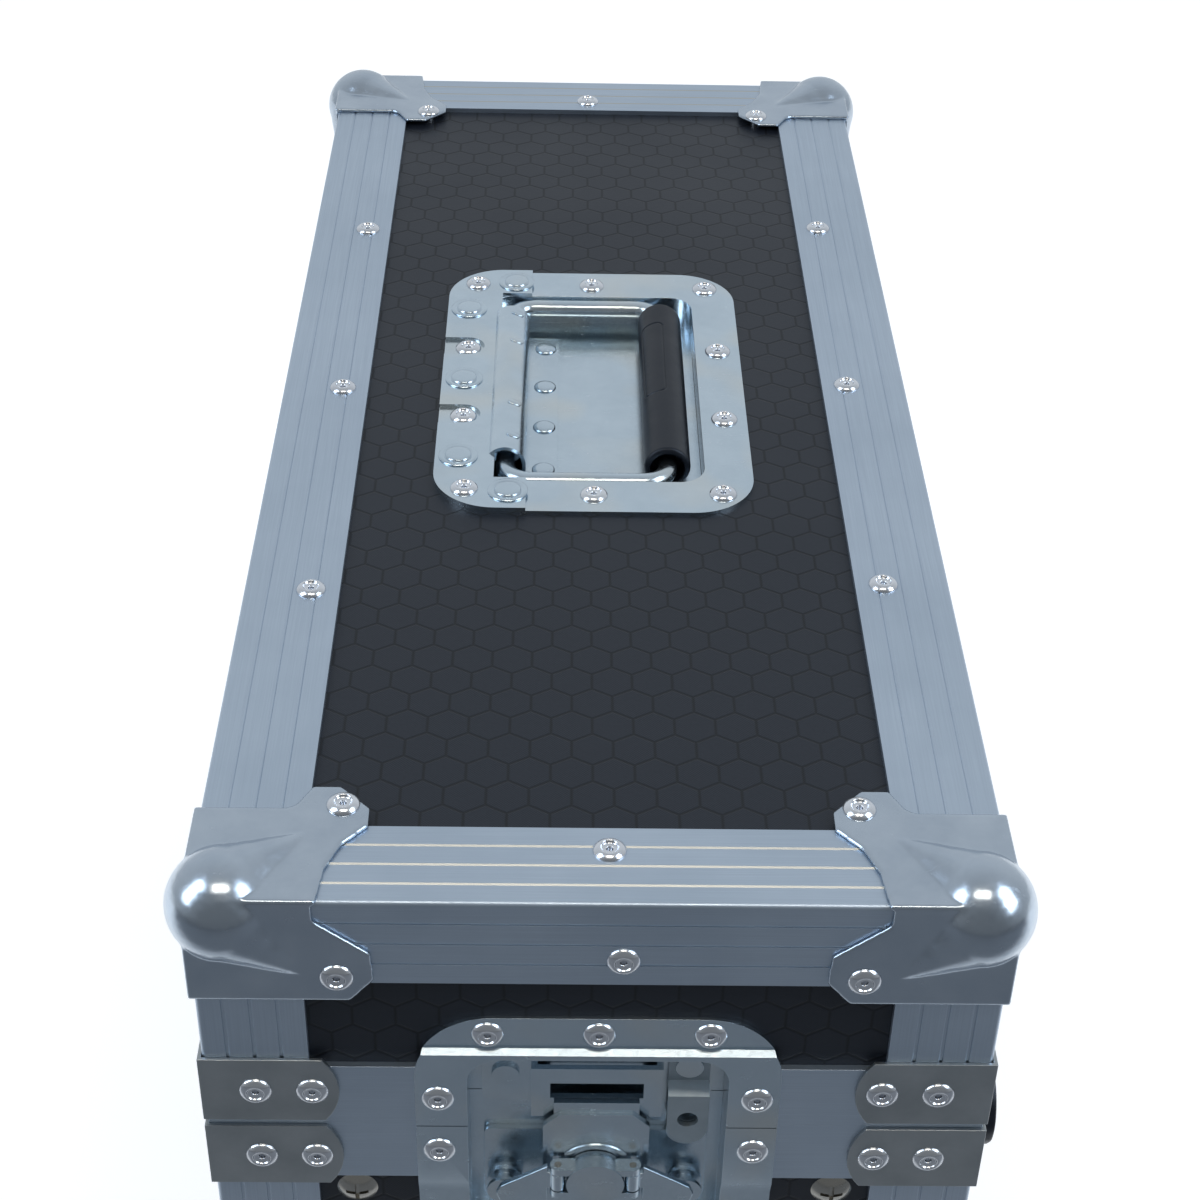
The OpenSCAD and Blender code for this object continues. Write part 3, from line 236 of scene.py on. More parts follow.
# Drawn aluminium: its streaks are this fine across the drawing and this much longer along it
STREAK_SCALE = 2600.0
STREAK_SHARE = 0.012
STREAK_DEEP = 0.012 * MM
ALUMINIUM_COLORS = rgb(0.46, 0.54, 0.63), rgb(0.52, 0.6, 0.69)
STREAK_COLOR = rgb(0.38, 0.44, 0.52)
# The grooves' paler, warmer colour is a painted highlight: it stands in for the lamp's light on their
# slopes
GROOVE_HIGHLIGHT_COLOR = rgb(0.62, 0.62, 0.58)


def drawn_metal(t, streaks):
    """Satin anodised aluminium with the given streaks."""
    cloud = t.noise(t.place, scale=22.0, detail=4.0, roughness=0.6)
    color = t.blend(t.spread(cloud, 0.3, 0.7), *ALUMINIUM_COLORS)
    color = t.blend(t.spread(streaks, 0.25, 0.75, 0.0, 0.35), color, STREAK_COLOR)
    rough = t.math("ADD", t.spread(streaks, 0.25, 0.75, 0.36, 0.44), t.spread(cloud, 0.3, 0.7, -0.03, 0.03))
    return t.finish(color, rough, t.bump(streaks, STREAK_DEEP), metallic=1.0)


def extrusion():
    """Aluminium drawn along whichever way each length of an edge runs."""
    t = Tree("satin_aluminium")
    place = t.axes()
    from_middle = t.math("ABSOLUTE", t.math("SUBTRACT", place[0], MID_X))
    from_side = t.math("SUBTRACT", CASE_W / 2, from_middle)
    from_end = t.math("SUBTRACT", CASE_L / 2, t.math("ABSOLUTE", place[1]))
    along_y = t.math("GREATER_THAN", from_end, from_side)
    streaks_y = t.noise(t.stretch((1.0, STREAK_SHARE, 1.0)), STREAK_SCALE)
    streaks_x = t.noise(t.stretch((STREAK_SHARE, 1.0, 1.0)), STREAK_SCALE)
    return drawn_metal(t, t.blend(along_y, streaks_x, streaks_y))


def upright_extrusion():
    t = Tree("satin_aluminium_upright")
    return drawn_metal(t, t.noise(t.stretch((1.0, 1.0, STREAK_SHARE)), STREAK_SCALE))


def groove_highlight_metal():
    """The side of a groove, paler and warmer than the face: a painted highlight of the lamp, added to the
    light that its slope catches.
    """
    return Tree("groove_painted_highlight").finish(GROOVE_HIGHLIGHT_COLOR, 0.34, metallic=1.0)


# Each plate's darker and paler colour, and the warm cast that a thick passivation leaves in places
ZINC_COLORS = rgb(0.52, 0.61, 0.68), rgb(0.58, 0.67, 0.74)
CORNER_COLORS = rgb(0.42, 0.485, 0.56), rgb(0.5, 0.565, 0.635)
HASP_COLORS = rgb(0.36, 0.42, 0.46), rgb(0.44, 0.5, 0.54)
BRACE_COLORS = rgb(0.34, 0.365, 0.375), rgb(0.42, 0.445, 0.455)
RIVET_COLORS = rgb(0.7, 0.72, 0.76), rgb(0.78, 0.8, 0.83)
NICKEL_COLORS = rgb(0.36, 0.345, 0.31), rgb(0.46, 0.44, 0.4)
WARM_COLOR = rgb(0.72, 0.68, 0.58)


def plated(name, colors, rough, spangle_mm=0.0, warmth=0.0):
    """Zinc or nickel plate, faintly mottled, with the small marks of handling."""
    t = Tree(name)
    cloud = t.noise(t.place, scale=60.0, detail=4.0, roughness=0.6)
    fine = t.noise(t.place, scale=700.0, detail=3.0, roughness=0.6)
    patches = t.noise(t.place, scale=38.0, detail=1.0)
    scuffs = t.noise(t.stretch((1.0, 6.0, 3.0)), scale=90.0, detail=6.0, roughness=0.7)
    color = t.blend(t.spread(cloud, 0.3, 0.7), *colors)
    color = t.blend(t.spread(patches, 0.5, 0.72, 0.0, warmth), color, WARM_COLOR)
    marks = t.spread(scuffs, 0.62, 0.72, 0.0, 0.09)
    roughness = t.math("ADD", t.spread(fine, 0.3, 0.7, rough - 0.03, rough + 0.04), marks)
    normal = t.bump(fine, spangle_mm * MM) if spangle_mm else None
    return t.finish(color, roughness, normal, metallic=1.0)


RUBBER_COLORS = rgb(0.0035, 0.0045, 0.0075), rgb(0.007, 0.0085, 0.0125)
RUBBER_SHEEN = rgb(0.78, 0.87, 1.0)
RUBBER_DEEP = 0.01 * MM


def rubber():
    t = Tree("black_rubber")
    fine = t.noise(t.place, scale=1800.0)
    dust = t.noise(t.place, scale=130.0, detail=5.0, roughness=0.7)
    color = t.blend(t.spread(dust, 0.5, 0.75), *RUBBER_COLORS)
    rough = t.spread(dust, 0.3, 0.7, 0.34, 0.46)
    return t.finish(color, rough, t.bump(fine, RUBBER_DEEP), specular=0.4, tint=RUBBER_SHEEN)


PLY_COLORS = rgb(0.42, 0.28, 0.15), rgb(0.6, 0.44, 0.27)
GLUE_COLOR = rgb(0.3, 0.18, 0.09)
PLY_PITCH = 2.6 * MM
GRAIN_DEEP = 0.05 * MM


def plywood():
    t = Tree("bare_plywood")
    grain = t.noise(t.stretch((0.06, 1.0, 1.0)), scale=420.0, detail=5.0, roughness=0.65)
    plies = t.math("SINE", t.math("MULTIPLY", t.axes()[1], 2 * math.pi / PLY_PITCH))
    color = t.blend(t.spread(grain, 0.3, 0.7), *PLY_COLORS)
    color = t.blend(t.spread(plies, 0.2, 1.0, 0.0, 0.5), color, GLUE_COLOR)
    return t.finish(color, 0.7, t.bump(grain, GRAIN_DEEP), specular=0.3)


def make_materials():
    """Each finish by its name. A laminate is made for each pair of axes that its panels lie along."""
    return {
        "laminate_flat": laminate("laminate_flat", 0, 1),
        "laminate_end": laminate("laminate_end", 0, 2),
        "laminate_side": laminate("laminate_side", 1, 2),
        "extrusion": extrusion(),
        "upright": upright_extrusion(),
        "groove": groove_highlight_metal(),
        "zinc": plated("bright_zinc", ZINC_COLORS, 0.22, spangle_mm=0.003, warmth=0.35),
        "ball": plated("corner_zinc", CORNER_COLORS, 0.22, spangle_mm=0.003),
        "hasp": plated("hasp_zinc", HASP_COLORS, 0.48),
        "brace": plated("dull_zinc", BRACE_COLORS, 0.34, spangle_mm=0.005),
        "rivet": plated("bright_steel", RIVET_COLORS, 0.17),
        "nickel": plated("dark_nickel", NICKEL_COLORS, 0.22),
        "rubber": rubber(),
        "plywood": plywood(),
    }


def finish_for(node):
    """The finish's name for a node, by what the node is."""
    if node.endswith("_panel"):
        if "top" in node or "base" in node:
            return "laminate_flat"
        return "laminate_side" if "left" in node or "right" in node else "laminate_end"
    if node.endswith("corner_edges"):
        return "upright"
    if node.endswith(("_edges", "_rim")):
        return "extrusion"
    if node.endswith("ball_corners"):
        return "ball"
    if node.endswith("_braces"):
        return "brace"
    if node in ("body_rivets", "lid_rivets"):
        return "rivet"
    if node in ("rubber_feet", "handle_grip"):
        return "rubber"
    if node == "rail_spacers":
        return "plywood"
    if node.endswith("_hasp"):
        return "hasp"
    if node.startswith(("rail_", "rack_", "foot_")) or node.endswith("_wing_pins"):
        return "nickel"
    return "zinc"


def paint(obj, material):
    obj.data.materials.clear()
    obj.data.materials.append(material)


# Meshes

# Points of a CAD mesh that are closer than this are one, and faces that turn by less are one
WELD = 0.002 * MM
FLAT_ANGLE = math.radians(0.8)
# Edges of a new piece that turn by more, in degrees, are shaded sharp; the ball corners have their own
SHARP_ANGLE = 38
CORNER_SHARP_ANGLE = 60
# Edges that turn by more are rounded, in a dressed node and in a node that only has its edges softened
HARD_ANGLE = math.radians(30)
SOFT_ANGLE = math.radians(35)
SOFT_SEGMENTS = 2
FLAT_WEIGHT = 90


def flatten(obj):
    """Keeps large faces flat in the light beside their rounded edges."""
    weighted = obj.modifiers.new("flat_faces", "WEIGHTED_NORMAL")
    weighted.keep_sharp = True
    weighted.weight = FLAT_WEIGHT


def soften(obj, width):
    """Rounds the hard edges of a node as it's shown."""
    weld = obj.modifiers.new("weld", "WELD")
    weld.merge_threshold = WELD
    join = obj.modifiers.new("flat_regions", "DECIMATE")
    join.decimate_type = "DISSOLVE"
    join.angle_limit = FLAT_ANGLE
    bevel = obj.modifiers.new("soft_edges", "BEVEL")
    bevel.width = width
    bevel.segments = SOFT_SEGMENTS
    bevel.limit_method = "ANGLE"
    bevel.angle_limit = SOFT_ANGLE
    flatten(obj)


def add_piece(name, bm, finish, body, *replaced, sharp=SHARP_ANGLE, flat=False):
    """Makes a piece of a mesh, rides it on a body and lets it stand for CAD nodes."""
    mesh = bpy.data.meshes.new(name)
    bm.to_mesh(mesh)
    bm.free()
    obj = add_object(name, mesh)
    mesh.shade_smooth()
    mesh.set_sharp_from_angle(angle=math.radians(sharp))
    if flat:
        flatten(obj)
    paint(obj, materials[finish])
    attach(obj, body)
    if replaced:
        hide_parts(*replaced)
    return obj


def welded(node):
    """A node's mesh with its doubled points joined."""
    bm = bmesh.new()
    bm.from_mesh(NODES[node].data)
    bmesh.ops.remove_doubles(bm, verts=bm.verts, dist=WELD)
    return bm


def solid_of(node):
    """A node's mesh with its triangles joined into flat faces."""
    bm = welded(node)
    bmesh.ops.dissolve_limit(
        bm, angle_limit=FLAT_ANGLE, verts=bm.verts, edges=bm.edges, use_dissolve_boundaries=False)
    return bm


def islands(node):
    """The lowest and highest corner and the mean point of each separate solid of a node."""
    bm = welded(node)
    left, found = set(bm.verts), []
    while left:
        group, waiting = set(), [left.pop()]
        while waiting:
            vert = waiting.pop()
            group.add(vert)
            near = {e.other_vert(vert) for e in vert.link_edges} & left
            left -= near
            waiting.extend(near)
        points = [v.co.copy() for v in group]
        low = Vector(min(q[i] for q in points) for i in range(3))
        high = Vector(max(q[i] for q in points) for i in range(3))
        found.append((low, high, sum(points, Vector()) / len(points)))
    bm.free()
    return sorted(found, key=lambda f: tuple(round(c, 6) for c in f[2]))


def lathe(bm, profile, place, segments):
    """Turns a profile of (radius, height) in millimetres about the Z axis of a place."""
    rings = []
    for radius, height in profile:
        if radius == 0:
            rings.append([bm.verts.new(place @ Vector((0, 0, height * MM)))])
            continue
        rings.append([
            bm.verts.new(place @ Vector((
                radius * MM * math.cos(2 * math.pi * i / segments),
                radius * MM * math.sin(2 * math.pi * i / segments),
                height * MM)))
            for i in range(segments)])
    for low, high in zip(rings, rings[1:]):
        for i in range(segments):
            j = (i + 1) % segments
            ring = [low[i % len(low)], low[j % len(low)], high[j % len(high)], high[i % len(high)]]
            bm.faces.new(list(dict.fromkeys(ring)))


def facing(axis, sign, at):
    """A place whose own Z axis points along one of the three axes, one way or the other."""
    way = Vector((0, 0, 0))
    way[axis] = sign
    return Matrix.Translation(at) @ way.to_track_quat("Z", "Y").to_matrix().to_4x4()


# Rivets

# Height of the CAD's rivet heads over what they hold
RIVET_HEAD_MM = 2.0
RIVET_SEGMENTS = 32
# Radius and height of a blind rivet, from the end of its body to the stub of its mandrel
RIVET_PROFILE = [
    (0, -8), (2.1, -8), (2.1, 0), (4.65, 0), (4.75, 0.12), (4.72, 0.4), (4.5, 0.78), (4.1, 1.16),
    (3.6, 1.5), (3.2, 1.7), (2.9, 1.78), (2.65, 1.74), (2.48, 1.58), (2.36, 1.3), (2.2, 1.05),
    (1.9, 0.92), (1.35, 0.88), (1.05, 0.86), (0.92, 0.7), (0.86, 0.2), (0.84, -0.6), (0, -0.7),
]
# The same of the handle's solid rivets, the large ones in the flange and the low ones in the pocket
BIG_RIVET_PROFILE = [
    (0, -2.4), (2.7, -2.4), (2.7, 0), (6.65, 0), (6.75, 0.14), (6.72, 0.4), (6.5, 0.62), (6.1, 0.74),
    (5.6, 0.74), (5.0, 0.6), (4.7, 0.5), (4.5, 0.58), (4.36, 0.86), (4.15, 1.06), (3.85, 1.16),
    (2.4, 1.2), (0, 1.2),
]
LOW_RIVET_PROFILE = [
    (0, -2.4), (2.7, -2.4), (2.7, 0), (3.9, 0), (4.0, 0.2), (3.85, 0.5), (3.4, 0.82), (2.6, 1.05),
    (1.4, 1.17), (0, 1.2),
]
BIG_RIVET_FROM_MM = 10
SOLID_RIVET_LOWER_MM = 0.02
SOLID_RIVET_SEGMENTS = 40


def add_rivets(node, body):
    """Turned blind rivets where the CAD's stand, each with its head at the end nearer its mean point."""
    bm = bmesh.new()
    for low, high, mean in islands(node):
        size = high - low
        axis = max(range(3), key=lambda i: size[i])
        seat = (low + high) / 2
        sign = 1 if mean[axis] > seat[axis] else -1
        seat[axis] = (high if sign > 0 else low)[axis] - sign * RIVET_HEAD_MM * MM
        lathe(bm, RIVET_PROFILE, facing(axis, sign, seat), RIVET_SEGMENTS)
    add_piece(node + "_turned", bm, "rivet", body, node)


def add_handle_rivets():
    """Turned solid rivets, their tops just under the CAD's."""
    bm = bmesh.new()
    for low, high, _ in islands("handle_rivets"):
        big = high.x - low.x > BIG_RIVET_FROM_MM * MM
        profile = BIG_RIVET_PROFILE if big else LOW_RIVET_PROFILE
        top = profile[-1][1] + SOLID_RIVET_LOWER_MM
        at = Vector(((low.x + high.x) / 2, (low.y + high.y) / 2, high.z - top * MM))
        lathe(bm, profile, facing(2, 1, at), SOLID_RIVET_SEGMENTS)
    add_piece("handle_solid_rivets", bm, "zinc", "lid", "handle_rivets")


# Pressed dishes

# Sizes of the pockets, by which their mouths and floors are told from the outer rims
HANDLE_POCKET_MM = (75.5, 126.5)
LATCH_POCKET_MM = (74.0, 116.0)
POCKET_SLACK_MM = 0.3
SPLIT_REACH_MM = 0.6
# How far a face may turn to the side, and has to turn outward, beside an edge that is rounded
WALL_FACING = 0.15
SHEET_FACING = 0.35
# What is rounded, by how much and in how many steps
DISH_ROUNDS_MM = (("mouth", 1.7, 5), ("floor", 1.5, 4), ("rim", 0.5, 3))

# The crank of the upper dish's flange, in heights over the split: the CAD's slope runs from low to
# high, and the shown bend only from bend to high. What lies further behind the outermost face than
# the crank's depth and the mouth's reach stays where it is.
CRANK_LOW_MM = 24.6
CRANK_BEND_MM = 29.65
CRANK_HIGH_MM = 30.6
CRANK_DEEP_MM = 2.0
MOUTH_REACH_MM = 3.2
CUT_TOLERANCE = 1e-6


def hard_edges(bm):
    """The edges between two faces that meet at more than the hard angle."""
    return [e for e in bm.edges if len(e.link_faces) == 2 and e.calc_face_angle(0) > HARD_ANGLE]


def round_edges(bm, edges, width, segments):
    bmesh.ops.bevel(
        bm, geom=edges, offset=width, segments=segments, profile=0.5, affect="EDGES", clamp_overlap=True)


def crank_shift(height):
    """How far out the flange stands of the CAD's straight slope, at a height over the split."""
    if not CRANK_LOW_MM < height < CRANK_HIGH_MM:
        return 0.0
    was = (height - CRANK_LOW_MM) / (CRANK_HIGH_MM - CRANK_LOW_MM)
    now = max(0.0, (height - CRANK_BEND_MM) / (CRANK_HIGH_MM - CRANK_BEND_MM))
    return (was - now) * CRANK_DEEP_MM


def bend_crank(bm, outward):
    """Gathers the slope of the flange into a short bend, which catches the light of the lamp."""
    face = max(v.co.dot(outward) for v in bm.verts)
    z = SPLIT_Z + CRANK_BEND_MM * MM
    parts = bm.verts[:] + bm.edges[:] + bm.faces[:]
    bmesh.ops.bisect_plane(bm, geom=parts, dist=CUT_TOLERANCE, plane_co=(0, 0, z), plane_no=(0, 0, 1))
    for v in bm.verts:
        if face - v.co.dot(outward) < (CRANK_DEEP_MM + MOUTH_REACH_MM) * MM:
            v.co += outward * crank_shift((v.co.z - SPLIT_Z) / MM) * MM


def shade_bend(mesh):
    """Shades a bent dish by its own faces, in place of the CAD's stored normals of the old slope."""
    if "custom_normal" in mesh.attributes:
        mesh.attributes.remove(mesh.attributes["custom_normal"])
    mesh.set_sharp_from_angle(angle=math.radians(SHARP_ANGLE))


def dress_dish(node, body, outward, centre, pocket_mm):
    """A pressed dish: its pocket's mouth, its floor and its outer rim are rounded."""
    bm = solid_of(node)
    flat = [i for i in range(3) if abs(outward[i]) < 0.5]
    at_split = "keeper" in node or "latch" in node

    def place_of(edge):
        """What part of the dish a hard edge belongs to."""
        middle = (edge.verts[0].co + edge.verts[1].co) / 2 - centre
        inside = all(abs(middle[i]) < (size / 2 + POCKET_SLACK_MM) * MM for i, size in zip(flat, pocket_mm))
        if at_split and all(abs(v.co.z - SPLIT_Z) < SPLIT_REACH_MM * MM for v in edge.verts):
            return "split"
        facings = sorted(abs(f.normal.dot(outward)) for f in edge.link_faces)
        if facings[0] > WALL_FACING or facings[1] < SHEET_FACING:
            return "other"
        if not edge.is_convex:
            return "floor" if inside else "other"
        return "mouth" if inside else "rim"

    for wanted, width, segments in DISH_ROUNDS_MM:
        edges = [e for e in hard_edges(bm) if place_of(e) == wanted]
        round_edges(bm, edges, width * MM, segments)
    cranked = "keeper" in node
    if cranked:
        bend_crank(bm, outward)
    dish = add_piece(node + "_pressed", bm, "zinc", body, node, flat=True)
    if cranked:
        shade_bend(dish.data)


def dress_dishes():
    """The handle's dish, and both halves of the latch dish at each end."""
    low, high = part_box("handle_dish")
    dress_dish("handle_dish", "lid", Vector((0, 0, 1)), (low + high) / 2, HANDLE_POCKET_MM)
    for end, sign in (("front", -1), ("rear", 1)):
        centre = Vector((MID_X, sign * CASE_L / 2, SPLIT_Z))
        for node, body in ((end + "_keeper_dish", "lid"), (end + "_latch_dish", "case")):
            dress_dish(node, body, Vector((0, sign, 0)), centre, LATCH_POCKET_MM)


# The lid's top grooves: how far in from the edges, their half width and depth, how wide the sloping
# side is, how far from the case's corners they end, and how far the slopes stay under the face
GROOVE_PLACES_MM = (7.5, 15.0, 22.5)
GROOVE_HALF_MM = 0.45
GROOVE_DEEP_MM = 0.4
GROOVE_SLOPE_MM = 0.85
GROOVE_END_MM = 24.0
GROOVE_UNDER_MM = 0.02


def add_groove(bm, start, end, inward):
    """A slope in a groove, from the foot of one side up to the face; it runs from start to end."""
    deep = Vector((0, 0, -GROOVE_DEEP_MM * MM))
    wall = -inward * GROOVE_HALF_MM * MM
    foot = wall + inward * GROOVE_SLOPE_MM * MM + deep
    rings = [[bm.verts.new(p + q) for q in (wall, wall + deep, foot)] for p in (start, end)]
    for i in range(3):
        j = (i + 1) % 3
        bm.faces.new((rings[0][i], rings[0][j], rings[1][j], rings[1][i]))
    bm.faces.new(rings[0])
    bm.faces.new(rings[1][::-1])


def add_grooves():
    """The slopes in the grooves that run across the lid's ends and along its sides."""
    low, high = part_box("lid_top_edges")
    top = high.z - GROOVE_UNDER_MM * MM
    end = GROOVE_END_MM * MM
    across, along = bmesh.new(), bmesh.new()
    for place in GROOVE_PLACES_MM:
        inset = place * MM
        for y in (low.y + inset, high.y - inset):
            start, stop = Vector((low.x + end, y, top)), Vector((high.x - end, y, top))
            add_groove(across, start, stop, Vector((0, -1, 0)))
        for x, way in ((low.x + inset, 1), (high.x - inset, -1)):
            start, stop = Vector((x, low.y + end, top)), Vector((x, high.y - end, top))
            add_groove(along, start, stop, Vector((way, 0, 0)))
    # The grooves across the ends take the paler groove colour, a painted highlight; those along the sides
    # take the extrusion's
    for name, bm, finish in (("grooves_across", across, "groove"), ("grooves_along", along, "extrusion")):
        bmesh.ops.recalc_face_normals(bm, faces=bm.faces)
        add_piece(name, bm, finish, "lid")


# The handle's grip

# Its label place is a bare rounded rectangle, sunk in outline: half its sides, its corners' radius,
# its middle along the grip, where it lies around the grip, and the line's half width and depth
LABEL_HALF_MM = (4.4, 24.0)
LABEL_CORNER_MM = 2.2
LABEL_MIDDLE_MM = 12.0
LABEL_ANGLE = math.radians(118)
LABEL_LINE_MM = (0.35, 0.3)
GRIP_ROUND_MM = 1.4
GRIP_MOUTH_MM = 6.0
GRIP_MOUTH_DEPTH_MM = 8.0
GRIP_BORE_MM = 3.4
# Coarse and fine steps of its surface, and how far the fine ones reach past the label's sides, to
# either side of the label's ends and in from the grip's own ends
AROUND_STEPS_MM = (1.8, 0.33)
ALONG_STEPS_MM = (2.5, 0.3)
LABEL_SIDE_REACH_MM = 1.5
LABEL_END_REACH_MM = 2.0
GRIP_END_REACH_MM = 1.5


def label_sink(across, along):
    """How deep the label's outline is sunk at a place on the grip, in millimetres."""
    beyond = [abs(v) - half + LABEL_CORNER_MM for v, half in zip((across, along), LABEL_HALF_MM)]
    distance = math.hypot(*(max(v, 0.0) for v in beyond)) + min(max(beyond), 0.0) - LABEL_CORNER_MM
    half_width, depth = LABEL_LINE_MM
    return depth * max(0.0, 1.0 - (distance / half_width) ** 2)


def steps(low, high, sizes, fine_spans):
    """Places from low to high, in coarse steps and, inside the fine spans, in fine ones."""
    coarse, fine = sizes
    found, at = [low], low
    while at < high:
        near = any(a - coarse < at < b for a, b in fine_spans)
        at = min(high, at + (fine if near else coarse))
        found.append(at)
    return found


def add_grip():
    """The moulded grip, with rounded ends, a wide mouth at each and a bore for the wire."""
    low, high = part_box("handle_grip")
    radius = (high.x - low.x) / 2 / MM
    half = (high.y - low.y) / 2 / MM
    centre = (low + high) / 2
    side = LABEL_HALF_MM[0] + LABEL_SIDE_REACH_MM
    around = steps(-math.pi * radius, math.pi * radius, AROUND_STEPS_MM, [(-side, side)])[:-1]
    ends = [LABEL_MIDDLE_MM + s * (LABEL_HALF_MM[1] - LABEL_CORNER_MM / 2) for s in (-1, 1)]
    spans = [(e - LABEL_END_REACH_MM, e + LABEL_END_REACH_MM) for e in ends]
    spans += [(-half, -half + GRIP_END_REACH_MM), (half - GRIP_END_REACH_MM, half)]
    along = steps(-half, half, ALONG_STEPS_MM, spans)

    def ring(bm, y, r_at):
        verts = []
        for arc in around:
            r = r_at(arc, y)
            angle = LABEL_ANGLE + arc / radius
            offset = Vector((r * math.cos(angle), y, r * math.sin(angle))) * MM
            verts.append(bm.verts.new(centre + offset))
        return verts

    def outer(arc, y):
        inset = max(0.0, GRIP_ROUND_MM - (half - abs(y)))
        rounded = GRIP_ROUND_MM - math.sqrt(max(0.0, GRIP_ROUND_MM ** 2 - inset ** 2))
        return radius - rounded - label_sink(arc, y - LABEL_MIDDLE_MM)

    def plain(r):
        return lambda arc, y: r

    bm = bmesh.new()
    mouth = half - GRIP_MOUTH_DEPTH_MM
    inner = [(-half, GRIP_MOUTH_MM), (-mouth, GRIP_MOUTH_MM), (-mouth, GRIP_BORE_MM),
             (mouth, GRIP_BORE_MM), (mouth, GRIP_MOUTH_MM), (half, GRIP_MOUTH_MM)]
    rings = [ring(bm, y, outer) for y in along] + [ring(bm, y, plain(r)) for y, r in reversed(inner)]
    for near, far in zip(rings, rings[1:] + rings[:1]):
        for i in range(len(around)):
            j = (i + 1) % len(around)
            bm.faces.new((near[i], near[j], far[j], far[i]))
    bmesh.ops.recalc_face_normals(bm, faces=bm.faces)
    add_piece("grip_moulded", bm, "rubber", "handle", "handle_grip")


# Press marks on the handle's barrel: their places from its middle, half sizes and offset sideways
DENT_PLACES_MM = (44.0, 24.0, -19.0, -40.0)
DENT_HALF_MM = (2.6, 1.7, 0.5)
DENT_OFFSET_MM = 2.6
DENT_SEGMENTS, DENT_RINGS = 24, 12


def add_dents():
    """The press marks on the barrel of the strap, which stand out as low bumps."""
    low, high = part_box("handle_bail")
    pivot_x, pivot_z = low.x + (high.z - low.z) / 2, (low.z + high.z) / 2
    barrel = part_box("handle_strap")[1].z - pivot_z
    middle = (low.y + high.y) / 2
    tilt = math.asin(DENT_OFFSET_MM * MM / barrel)
    x, z = pivot_x + math.sin(tilt) * barrel, pivot_z + math.cos(tilt) * barrel
    turn = Matrix.Rotation(tilt, 4, "Y")
    scale = Matrix.Diagonal([v * MM for v in DENT_HALF_MM] + [1.0])
    bm = bmesh.new()
    for offset in DENT_PLACES_MM:
        place = Matrix.Translation((x, middle + offset * MM, z)) @ turn @ scale
        bmesh.ops.create_uvsphere(
            bm, u_segments=DENT_SEGMENTS, v_segments=DENT_RINGS, radius=1.0, matrix=place)
    add_piece("barrel_dents", bm, "zinc", "lid")


# Ball corners: the size of the cells that join their forms, how they are smoothed, and the share of
# their triangles that stays
CORNER_VOXEL = 0.6 * MM
CORNER_CALM = 0.5
CORNER_CALM_ROUNDS = 4
CORNER_KEPT_SHARE = 0.3


def smooth_corners(node, body):
    """The ball corners as one pressing: the ball, its horns and the plates run into each other."""
    work = NODES[node].copy()
    work.data = NODES[node].data.copy()
    bpy.context.scene.collection.objects.link(work)
    work.parent = None
    remesh = work.modifiers.new("remesh", "REMESH")
    remesh.mode = "VOXEL"
    remesh.voxel_size = CORNER_VOXEL
    calm = work.modifiers.new("calm", "SMOOTH")
    calm.factor = CORNER_CALM
    calm.iterations = CORNER_CALM_ROUNDS
    thin = work.modifiers.new("thin", "DECIMATE")
    thin.ratio = CORNER_KEPT_SHARE
    bpy.context.view_layer.update()
    shown = work.evaluated_get(bpy.context.evaluated_depsgraph_get())
    bm = bmesh.new()
    bm.from_mesh(shown.to_mesh())
    shown.to_mesh_clear()
    bpy.data.objects.remove(work)
    add_piece(node + "_pressed", bm, "ball", body, node, sharp=CORNER_SHARP_ANGLE)


# How wide the edges of the other nodes are rounded, by how their names end
EDGE_WIDTHS_MM = {
    "_edges": 0.38, "_rim": 0.38, "_braces": 0.3, "rack_rails": 0.3, "rubber_feet": 1.2,
    "_strap": 0.35, "_keeper": 0.3, "_hasp": 0.25, "_latch_base": 0.18, "_claw": 0.22,
    "_cam": 0.3, "_wing": 0.2, "rail_nuts": 0.3,
}


def soften_nodes():
    """Softens the edges of the nodes that no dressed piece stands for."""
    for name, obj in NODES.items():
        if obj.hide_render:
            continue
        for ending, width in EDGE_WIDTHS_MM.items():
            if name.endswith(ending):
                soften(obj, width * MM)


# Light and stage

FLOOR_SIZE = 6.0
# Where the floor's painted shade, a stand-in for the case's shadow in front of it, gives way to pale, going
# away from the viewer
FLOOR_SHADE_Y, FLOOR_PALE_Y = -0.45, -0.12
# Painted shade: the floor's colour in front of the case, in place of the shadow that the case would cast
# there
FLOOR_PAINTED_SHADE = rgb(0.2, 0.205, 0.215)
FLOOR_PALE = rgb(0.8, 0.8, 0.8)
FLOOR_GLOW = 0.52
GLOW_COLOR = rgb(1.0, 1.0, 1.0)

# Strength of the surroundings in front of the case and behind it, and how far round they change
WORLD_FRONT = 0.22
WORLD_BACK = 0.74
WORLD_REACH = 0.8
WORLD_COLOR = rgb(0.88, 0.94, 1.0)

# Area lights: where each is, where it looks, its two sizes, its power in watts and its colour
WINDOW_AIM, HIGH_AIM = (0.0, -0.2, 0.35), (0.0, -0.25, 0.35)
WINDOW_TINT, HIGH_TINT, LAMP_TINT = (0.78, 0.88, 1.0), (0.72, 0.84, 1.0), (1.0, 0.92, 0.8)
LIGHTS = {
    "left_window": ((-1.8, -0.65, 1.25), WINDOW_AIM, (0.7, 0.8), 9.0, WINDOW_TINT),
    "right_window": ((1.7, -0.85, 1.45), WINDOW_AIM, (0.9, 0.8), 12.0, WINDOW_TINT),
    "high_left": ((-1.4, -0.5, 1.95), HIGH_AIM, (0.8, 0.8), 9.0, HIGH_TINT),
    "high_right": ((1.4, -0.5, 1.95), HIGH_AIM, (0.8, 0.8), 9.0, HIGH_TINT),
    "lamp": ((0.0, -0.75, 1.9), HIGH_AIM, (0.8, 0.26), 5.0, LAMP_TINT),
}


